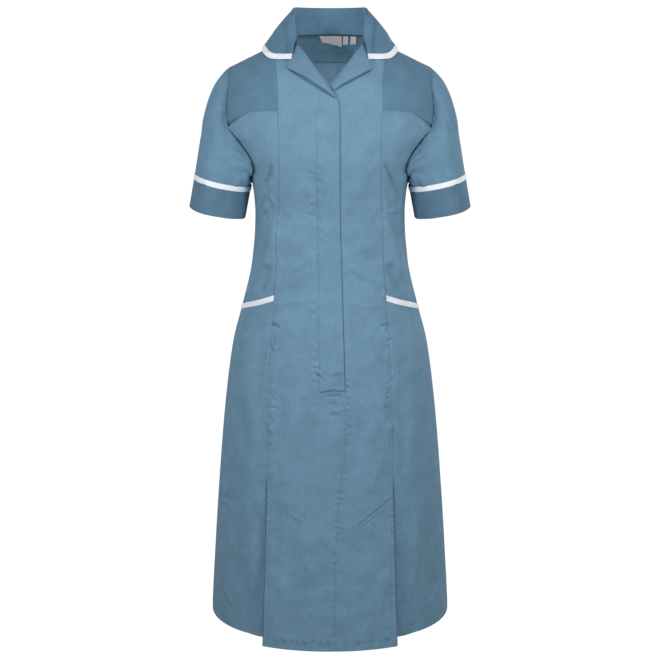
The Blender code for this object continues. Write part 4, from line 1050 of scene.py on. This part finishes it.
def build_sleeves():
    around = np.linspace(0, 2 * math.pi, SLEEVE_AROUND, endpoint=False)
    start = armhole_ring(around)
    end = ring(SLEEVE_SEAM, around)
    axis = np.array((SLEEVE_HEM[0] - SLEEVE_SEAM[0], 0, SLEEVE_HEM[1] - SLEEVE_SEAM[1]))
    axis = axis / np.linalg.norm(axis)
    length = np.linalg.norm(end - start, axis=1)[:, None]
    outside = ((1 + np.cos(around)) / 2)[:, None]
    forward = np.stack((np.ones_like(around), -np.sign(np.sin(around)), np.ones_like(around)), axis=1)
    pull = (
        outside**2 * np.array(SHOULDER_PULL)
        + 2 * outside * (1 - outside) * np.array(SIDE_PULL) * forward
        + (1 - outside) ** 2 * np.array(UNDERARM_PULL)
    )
    tuck = np.array((60, 0, 930)) - start
    tuck = tuck / np.linalg.norm(tuck, axis=1, keepdims=True) * outside**0.5
    start = start + tuck * 0.9 + np.array((0.4, 0, 0)) * (1 - outside) ** 2
    shares = np.concatenate(([0, 0.004, 0.01, 0.02], np.linspace(0.02, 1, SLEEVE_RINGS)[1:]))
    t = shares[:, None, None]
    grid = (
        start * (1 + 2 * t) * (1 - t) ** 2
        + pull * length * t * (1 - t) ** 2
        + end * t * t * (3 - 2 * t)
        + axis * length * t * t * (t - 1)
    )
    hem = ring(SLEEVE_HEM, around)
    down = np.linalg.norm(hem - end, axis=1).mean()
    t = (steps(down, 3, (0.7, 1.8)) / down)[:, None, None]
    cuff = end * (1 - t) + hem * t
    made = []
    for side in (1, -1):
        name = "left" if side == 1 else "right"
        relief = sleeve_relief(around[None], shares[:, None], length[:, 0][None], side)
        relief = relief * ramp((1 - shares[:, None]) / 0.14)
        run = shares[:, None] * length[:, 0]
        relief = relief - 0.6 * np.exp(-((run / 1.8) ** 2))
        turn = np.degrees(around)[None]
        # Painted shadow in the gap at the underarm, and painted shade along the armhole seam.
        shade = 0.95 * np.exp(-((run / 5) ** 2)) * ramp((turn - 112) / 26) * ramp((250 - turn) / 30)
        shade += 0.22 * np.exp(-((run / 1.2) ** 2))
        flat = grid * (side, 1, 1)
        turned = (normals(flat, True) * (flat - flat.mean(axis=1, keepdims=True))).sum() < 0
        order = slice(None, None, -1 if turned else 1)
        sleeve = moved(flat[:, order], relief[:, order], True)
        flat = cuff * (side, 1, 1)
        band = folded(np.degrees(around)[None] + 0 * t[..., 0], 160 + 60 * t[..., 0] + 0 * around[None], (
            (60, 150, 66, 230, 20, 0.8), (110, 150, 100, 230, 16, -0.8), (150, 150, 156, 230, 15, 0.8),
            (20, 150, 24, 230, 20, -0.6), (230, 150, 222, 230, 20, -0.8), (300, 150, 306, 230, 20, 0.8),
        ))
        cuffed = moved(flat[:, order], (band + 0.5)[:, order], True)
        tape = []
        half = BINDING_WIDTH / 2
        towards = normals(cuffed, True)[:4].mean(axis=0)
        down_way = (cuffed[-1] - cuffed[0]) / np.linalg.norm(cuffed[-1] - cuffed[0], axis=1, keepdims=True)
        seam = (sleeve[-1] + cuffed[0]) / 2
        for share in np.linspace(-1, 1, 8):
            crown = 1.0 + 0.5 * (1 - share * share)
            tape.append(seam + down_way * half * share + towards * crown)
        tape = np.array(tape)
        made.append((
            sew(f"sleeve_{name}", sleeve, SLEEVE_FINISH, f"sleeve_{name}", closed=True, seams=(), shade=shade[:, order]),
            sew(f"cuff_{name}", cuffed, CUFF_FINISH, f"cuff_{name}", 1.6, True, seams=()),
            sew(f"cuff_binding_{name}", tape, TAPE_FINISH, f"cuff_binding_{name}", 0.7, True, ()),
        ))
    return made


SLEEVE_FINISH = cloth_finish("sleeve_cloth", (0.121, 0.235, 0.336))
CUFF_FINISH = cloth_finish("cuff_cloth", (0.088, 0.174, 0.254))
for sleeve, cuff, tape in build_sleeves():
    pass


# The collar
# A stand and a fall with rounded corners, seamed to the neck; the fall's edge is bound with white tape.

COLLAR = (
    ((0, 57, 1134), (0, 73, 1071)),
    ((33, 51, 1134.5), (38, 69, 1070)),
    ((54, 33, 1135.5), (76, 54, 1069.5)),
    ((63.5, 11, 1136), (109, 27, 1067)),
    ((65, -9, 1131), (120, -2, 1066.5)),
    ((63.5, -25, 1117), (118.5, -28, 1062)),
    ((61, -36, 1101), (107, -50, 1052.5)),
    ((59.5, -41, 1092), (88, -66, 1051)),
    ((58.5, -44, 1087), (66.5, -79, 1052)),
)
COLLAR_CLOTH = 1.4
COLLAR_FOLD = 2.4
COLLAR_BULGE = 3.5


def neck_edge(section):
    """Where the collar's section meets the neck seam."""
    across, back, _ = section[0]
    if back >= 0:
        return body(BACK, *place(BACK, across * NECK_SIDE / 65.5, NECK_HEIGHT))
    forward = min(1, -back / 44)
    x = 60 - 1.5 * forward
    return body(FRONT, place(FRONT, x, CHEST[FRONT])[0], RIDGE * (1 - 0.235 * forward))


def through(points, factor):
    """More points on a smooth curve through the first axis of these ones."""
    count = len(points)
    at = np.linspace(0, count - 1, (count - 1) * factor + 1)
    i = np.minimum(at.astype(int), count - 2)
    t = (at - i).reshape(-1, *[1] * (points.ndim - 1))
    ends = np.concatenate((2 * points[:1] - points[1:2], points, 2 * points[-1:] - points[-2:-1]))
    a, b, c, d = (ends[i + k] for k in range(4))
    return 0.5 * (2 * b + (c - a) * t + (2 * a - 5 * b + 4 * c - d) * t**2 + (3 * b - a - 3 * c + d) * t**3)


def build_collar():
    half = []
    for section in COLLAR:
        fold, edge = np.array(section, float)
        seam = neck_edge(section) + (0, 0, 0.3)
        out = (edge - fold) * (1, 1, 0)
        out = out / np.linalg.norm(out)
        drop = np.array((0, 0, 1.8))
        inner = fold - out * COLLAR_FOLD - drop
        outer = fold + out * COLLAR_FOLD - drop
        fall = edge - outer
        length = np.linalg.norm(fall)
        bulge = np.cross(np.cross(out, (0, 0, 1.0)), fall / length)
        bulge = bulge if bulge[2] > 0 else -bulge
        shares = (0.3, 0.6, 1 - BINDING_WIDTH / length)
        points = [seam, seam + (inner - seam) * 0.5, inner, fold, outer]
        points += [outer + fall * share + bulge * COLLAR_BULGE * math.sin(math.pi * share) for share in shares]
        half.append(points + [edge])
    half = through(np.array(half), 9)
    grid = np.concatenate((half[:0:-1] * (-1, 1, 1), half)).transpose(1, 0, 2)
    grid = through(grid, 6)
    if (normals(grid)[-8] * grid[-8] * (1, 1, 0)).sum() < 0:
        grid = grid[:, ::-1]
    down = np.linspace(0, 1, len(grid))[:, None]
    outside = ramp((down - 0.46) / 0.08) * ramp((1 - down) / 0.12)
    inside = ramp((0.33 - down) / 0.08) * ramp(down / 0.06)
    folds = outside * folded(grid[..., 0], grid[..., 2], (
        (-79, 1112, -74, 1066, 4.5, -0.8), (-87, 1104, -84, 1068, 5, 0.4), (79, 1112, 74, 1066, 4.5, -0.8),
        (88, 1104, 84, 1070, 5, 0.4), (-100, 1092, -112, 1066, 6, -0.5), (104, 1090, 118, 1066, 6, -0.5),
    ))
    folds += inside * folded(grid[..., 0], grid[..., 2], (
        (-18, 1122, -34, 1108, 3, 0.8), (-14, 1118, -30, 1104, 3, -0.7), (20, 1116, 42, 1106, 6, 0.5),
        (-46, 1118, -52, 1100, 5, -0.5), (30, 1104, 52, 1098, 5, -0.4),
    ))
    # Painted shade in the soft hollow of each fall beside the roll.
    dark = 0.3 * outside * np.exp(-((np.abs(grid[..., 0]) - 78 + (grid[..., 2] - 1090) * -0.1) / 3.6) ** 2)
    lifted = moved(grid, folds)
    seam_run = np.linalg.norm(np.diff(grid, axis=0, prepend=grid[:1]), axis=2).cumsum(axis=0)
    lifted = moved(lifted, groove(seam_run - 5, 1.6, 0.9) * (down < 0.3))
    # Painted shade in the groove of the stand's stitching line.
    dark += 0.22 * np.exp(-(((seam_run - 5) / 1.4) ** 2)) * (down < 0.3)
    collar = sew("collar", lifted, COLLAR_FINISH, "collar", COLLAR_CLOTH, seams=(), shade=dark)
    edge = lifted[-1]
    inward = lifted[-7] - edge
    inward = inward / np.linalg.norm(inward, axis=-1, keepdims=True)
    out = normals(lifted)[-2] * 0.8
    tape = ribbon(edge - inward * 0.8, inward, out, BINDING_WIDTH + 0.8)
    if (normals(tape)[3] * out).sum() < 0:
        tape = tape[::-1]
    binding = sew("collar_binding", tape, TAPE_FINISH, "collar_binding", 0.8, seams=())
    return collar, binding


COLLAR_FINISH = cloth_finish("collar_cloth", (0.092, 0.194, 0.290))
collar, collar_tape = build_collar()


# The labels
# A woven neck label and two small size tabs, caught in the neck seam and hanging inside the back. They
# are left blank.

# Each label's corners as across and height: top left, top right, lower right and lower left.
LABELS = {
    "neck_label": ((-20, 1087), (22, 1087), (22, 1068), (-15, 1077)),
    "size_tab_1": ((24.5, 1087), (34, 1087), (34, 1073), (24.5, 1072)),
    "size_tab_2": ((38, 1087), (48.5, 1087), (48.5, 1074), (38, 1073)),
}


def build_labels():
    made = []
    for name, corners in LABELS.items():
        top_left, top_right, low_right, low_left = (np.array(c, float) for c in corners)
        u = np.linspace(0, 1, 15)[None, :, None]
        v = np.linspace(0, 1, 12)[:, None, None]
        flat = (low_left * (1 - u) + low_right * u) * (1 - v) + (top_left * (1 - u) + top_right * u) * v
        grid = faced_out(body(BACK, *np.moveaxis(place(BACK, flat[..., 0], flat[..., 1]), -1, 0)))
        hang = 1 - v[..., 0]
        curl = (2 * u[..., 0] - 1) ** 2
        out = -2.4 - 1.6 * hang**2 - 0.7 * hang * curl
        made.append(sew(name, moved(grid, out), LABEL_FINISH, name, 0.4, seams=()))
    return made


LABEL_FINISH = cloth_finish("grey_label", (0.52, 0.50, 0.515), crumple=0.1, sheen=0.1, roughness=0.55)
for piece, size in zip(build_labels(), ((0.043, 0.024), (0.0102, 0.0215), (0.0112, 0.025))):
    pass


# The stitching
# Rows of small lockstitches in matching thread, sunk a little in the cloth: along the fly, round the end of the fly,
# down both princess seams, over the kick pleats and round the hems.

from mathutils.bvhtree import BVHTree

STITCH = dict(length=2.5, pitch=3.3, width=0.32, height=0.28)


def surface_of(*pieces):
    """What a needle meets: all the faces of these pieces in one tree."""
    points = []
    faces = []
    for piece in pieces:
        start = len(points)
        points += [tuple(v.co) for v in piece.data.vertices]
        faces += [tuple(start + i for i in p.vertices) for p in piece.data.polygons]
    return BVHTree.FromPolygons(points, faces)


def along_seen(tree, places, face=FRONT):
    """Points and normals where a seam drawn as (across, height) lies on the cloth, seen from the front or back."""
    places = np.array(places, float)
    runs = np.concatenate(([0], np.cumsum(np.linalg.norm(np.diff(places, axis=0), axis=1))))
    at = np.arange(0, runs[-1], STITCH["pitch"] / 2)
    across = np.interp(at, runs, places[:, 0])
    height = np.interp(at, runs, places[:, 1]) - ORIGIN_HEIGHT
    way = 1 if face == FRONT else -1
    found = []
    for x, z in zip(across, height):
        hit = tree.ray_cast((x * MM, -way, z * MM), (0, way, 0))
        if hit[0] is not None:
            found.append((hit[0], hit[1]))
    return found


def along_round(tree, height, turns):
    """The same for a level row round the body, from one angle to another in degrees."""
    found = []
    for turn in np.arange(*turns, 0.36):
        out = (math.sin(math.radians(turn)), -math.cos(math.radians(turn)), 0)
        level = (height - ORIGIN_HEIGHT) * MM
        hit = tree.ray_cast((out[0], out[1], level), (-out[0], -out[1], 0))
        if hit[0] is not None:
            found.append((hit[0], hit[1]))
    return found


def stitch(name, rows, finish):
    """Every second gap between the found points holds a stitch, a bar with a sloping top. All are one mesh."""
    points = []
    faces = []
    for row in rows:
        for (a, up), (b, _) in zip(row[::2], row[1::2]):
            a, b, up = (np.array(v, float) for v in (a, b, up))
            run = b - a
            gap = np.linalg.norm(run)
            if gap < 0.0004 or gap > 0.006:
                continue
            run = run / gap
            side = np.cross(run, up)
            side = side / np.linalg.norm(side) * STITCH["width"] * MM
            middle = (a + b) / 2
            half = run * STITCH["length"] / 2 * MM
            top = up * STITCH["height"] * MM
            start = len(points)
            for end in (-1, 1):
                points += [middle + half * end - side - top * 0.3, middle + half * end + side - top * 0.3]
                points += [middle + half * end * 0.6 + side * 0.6 + top, middle + half * end * 0.6 - side * 0.6 + top]
            k = start
            faces += [(k, k + 1, k + 2, k + 3), (k + 4, k + 7, k + 6, k + 5)]
            faces += [(k + i, k + 4 + i, k + 4 + (i + 1) % 4, k + (i + 1) % 4) for i in range(4)]
    mesh = bpy.data.meshes.new(name)
    mesh.from_pydata([tuple(p) for p in points], [], faces)
    mesh.materials.append(finish)
    piece = bpy.data.objects.new(name, mesh)
    bpy.context.scene.collection.objects.link(piece)
    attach(piece, "root")
    return piece


def thread_finish(name, colour):
    material = bpy.data.materials.new(name)
    material.use_nodes = True
    nodes = material.node_tree.nodes
    links = material.node_tree.links
    shader = nodes["Principled BSDF"]
    spot = nodes.new("ShaderNodeTexCoord").outputs["Object"]
    twist = noise_node(nodes, links, spot, 900.0, 2.0)
    tone = nodes.new("ShaderNodeValToRGB")
    tone.color_ramp.elements[0].color = (*(c * 0.8 for c in colour), 1)
    tone.color_ramp.elements[1].color = (*(c * 1.2 for c in colour), 1)
    links.new(twist, tone.inputs[0])
    links.new(tone.outputs[0], shader.inputs["Base Color"])
    shader.inputs["Roughness"].default_value = 0.6
    return material


THREAD = thread_finish("blue_thread", (0.075, 0.165, 0.250))
front_faces = surface_of(*fronts.values(), *side_fronts)
rows = [along_seen(front_faces, [(x, h) for x, h in FLY_STITCHING])]
for lift in (-0.9, 0.9):
    rows.append(along_seen(front_faces, [(-18, 465.5 + lift), (25, 468 + lift)]))
(out_x, out_h), (in_x, in_h) = KICK_STITCH
for side in (-1, 1):
    rows.append(along_seen(front_faces, [(side * (out_x + 1), out_h - KICK_DROP), (side * in_x, in_h - KICK_DROP)]))
    rows.append(along_seen(front_faces, [(side * (in_x + 30), in_h - 7 + 14), (side * (in_x - 1), in_h - 14)]))
    inside = [(side * (float(princess(h)) - 5), h) for h in range(282, 636, 6)]
    rows.append(along_seen(front_faces, inside))
    edge = [(side * (float(princess(h)) - 3.5), h) for h in range(6, 270, 6)]
    rows.append(along_seen(front_faces, edge))
rows.append(along_seen(front_faces, [(x, 8) for x in range(-114, 115, 3)]))
whole = surface_of(*side_fronts[2:], *backs)
for turns in ((36, 180), (180, 324)):
    rows.append(along_round(whole, 17, turns))
stitching = stitch("body_stitching", rows, THREAD)


# The studio
# A plain pale floor below the dress, a white surround, and soft lights round it and one inside.

def white_floor():
    """Plain matt white, which the camera sees as bright as the surround."""
    material = bpy.data.materials.new("white_floor")
    material.use_nodes = True
    nodes = material.node_tree.nodes
    links = material.node_tree.links
    shader = nodes["Principled BSDF"]
    shader.inputs["Base Color"].default_value = (0.8, 0.8, 0.8, 1)
    shader.inputs["Roughness"].default_value = 0.9
    glow = nodes.new("ShaderNodeEmission")
    glow.inputs["Strength"].default_value = 1.05
    path = nodes.new("ShaderNodeLightPath")
    mix = nodes.new("ShaderNodeMixShader")
    links.new(path.outputs["Is Camera Ray"], mix.inputs[0])
    links.new(shader.outputs[0], mix.inputs[1])
    links.new(glow.outputs[0], mix.inputs[2])
    links.new(mix.outputs[0], nodes["Material Output"].inputs["Surface"])
    return material


bpy.ops.object.select_all(action="DESELECT")
bpy.ops.mesh.primitive_circle_add(vertices=96, radius=60, fill_type="NGON", location=(0, 0, -1.5))
floor = bpy.context.object
floor.name = "floor"
floor.data.materials.append(white_floor())


def soft_light(name, place_at, aim, size, power):
    data = bpy.data.lights.new(name, "AREA")
    data.shape = "RECTANGLE"
    data.size, data.size_y = size
    data.energy = power
    light = bpy.data.objects.new(name, data)
    bpy.context.scene.collection.objects.link(light)
    light.location = place_at
    way = np.array(aim, float) - np.array(place_at, float)
    flat = math.hypot(way[0], way[1])
    light.rotation_euler = (math.atan2(flat, -way[2]), 0, math.atan2(-way[0], way[1]))
    light.visible_camera = False


soft_light("left", (-0.85, -1.1, 0.04), (0, 0, -0.25), (0.45, 0.5), 11)
soft_light("right", (0.85, -1.1, 0.04), (0, 0, -0.25), (0.45, 0.5), 10.2)
soft_light("top", (-0.1, -1.2, 1.25), (0, 0, -0.25), (0.5, 0.5), 3.4)
soft_light("left side", (-1.1, -0.4, 0.8), (-0.2, 0, -0.2), (0.5, 0.5), 2)
soft_light("right side", (1.1, -0.4, 0.8), (0.2, 0, -0.2), (0.5, 0.5), 3.0)
soft_light("back left", (1.3, 1.6, 0.3), (0, 0, -0.4), (0.6, 0.6), 17)
soft_light("back right", (-1.2, 1.8, 0.6), (0, 0, -0.4), (0.8, 0.8), 13)
soft_light("inside", (0, -0.02, -0.12), (0, 0.1, -0.07), (0.1, 0.05), 0.1)

world = bpy.data.worlds.new("white_surround")
bpy.context.scene.world = world
world.use_nodes = True
nodes = world.node_tree.nodes
links = world.node_tree.links
shown = nodes.new("ShaderNodeBackground")
shown.inputs["Strength"].default_value = 1.05
lit = nodes["Background"]
lit.inputs["Color"].default_value = (0.97, 0.985, 1, 1)
lit.inputs["Strength"].default_value = 0.2
shown.inputs["Color"].default_value = (1, 1, 1, 1)
path = nodes.new("ShaderNodeLightPath")
mix = nodes.new("ShaderNodeMixShader")
links.new(path.outputs["Is Camera Ray"], mix.inputs[0])
links.new(lit.outputs[0], mix.inputs[1])
links.new(shown.outputs[0], mix.inputs[2])
links.new(mix.outputs[0], nodes["World Output"].inputs["Surface"])
bpy.context.scene.view_settings.view_transform = "Standard"

lens = bpy.data.cameras.new("camera")
lens.lens = 81.2
lens.sensor_width = 36
camera = bpy.data.objects.new("camera", lens)
bpy.context.scene.collection.objects.link(camera)
camera.location = (0, -2.7, 0.109)
camera.rotation_euler = (math.radians(76.5), 0, 0)
bpy.context.scene.camera = camera
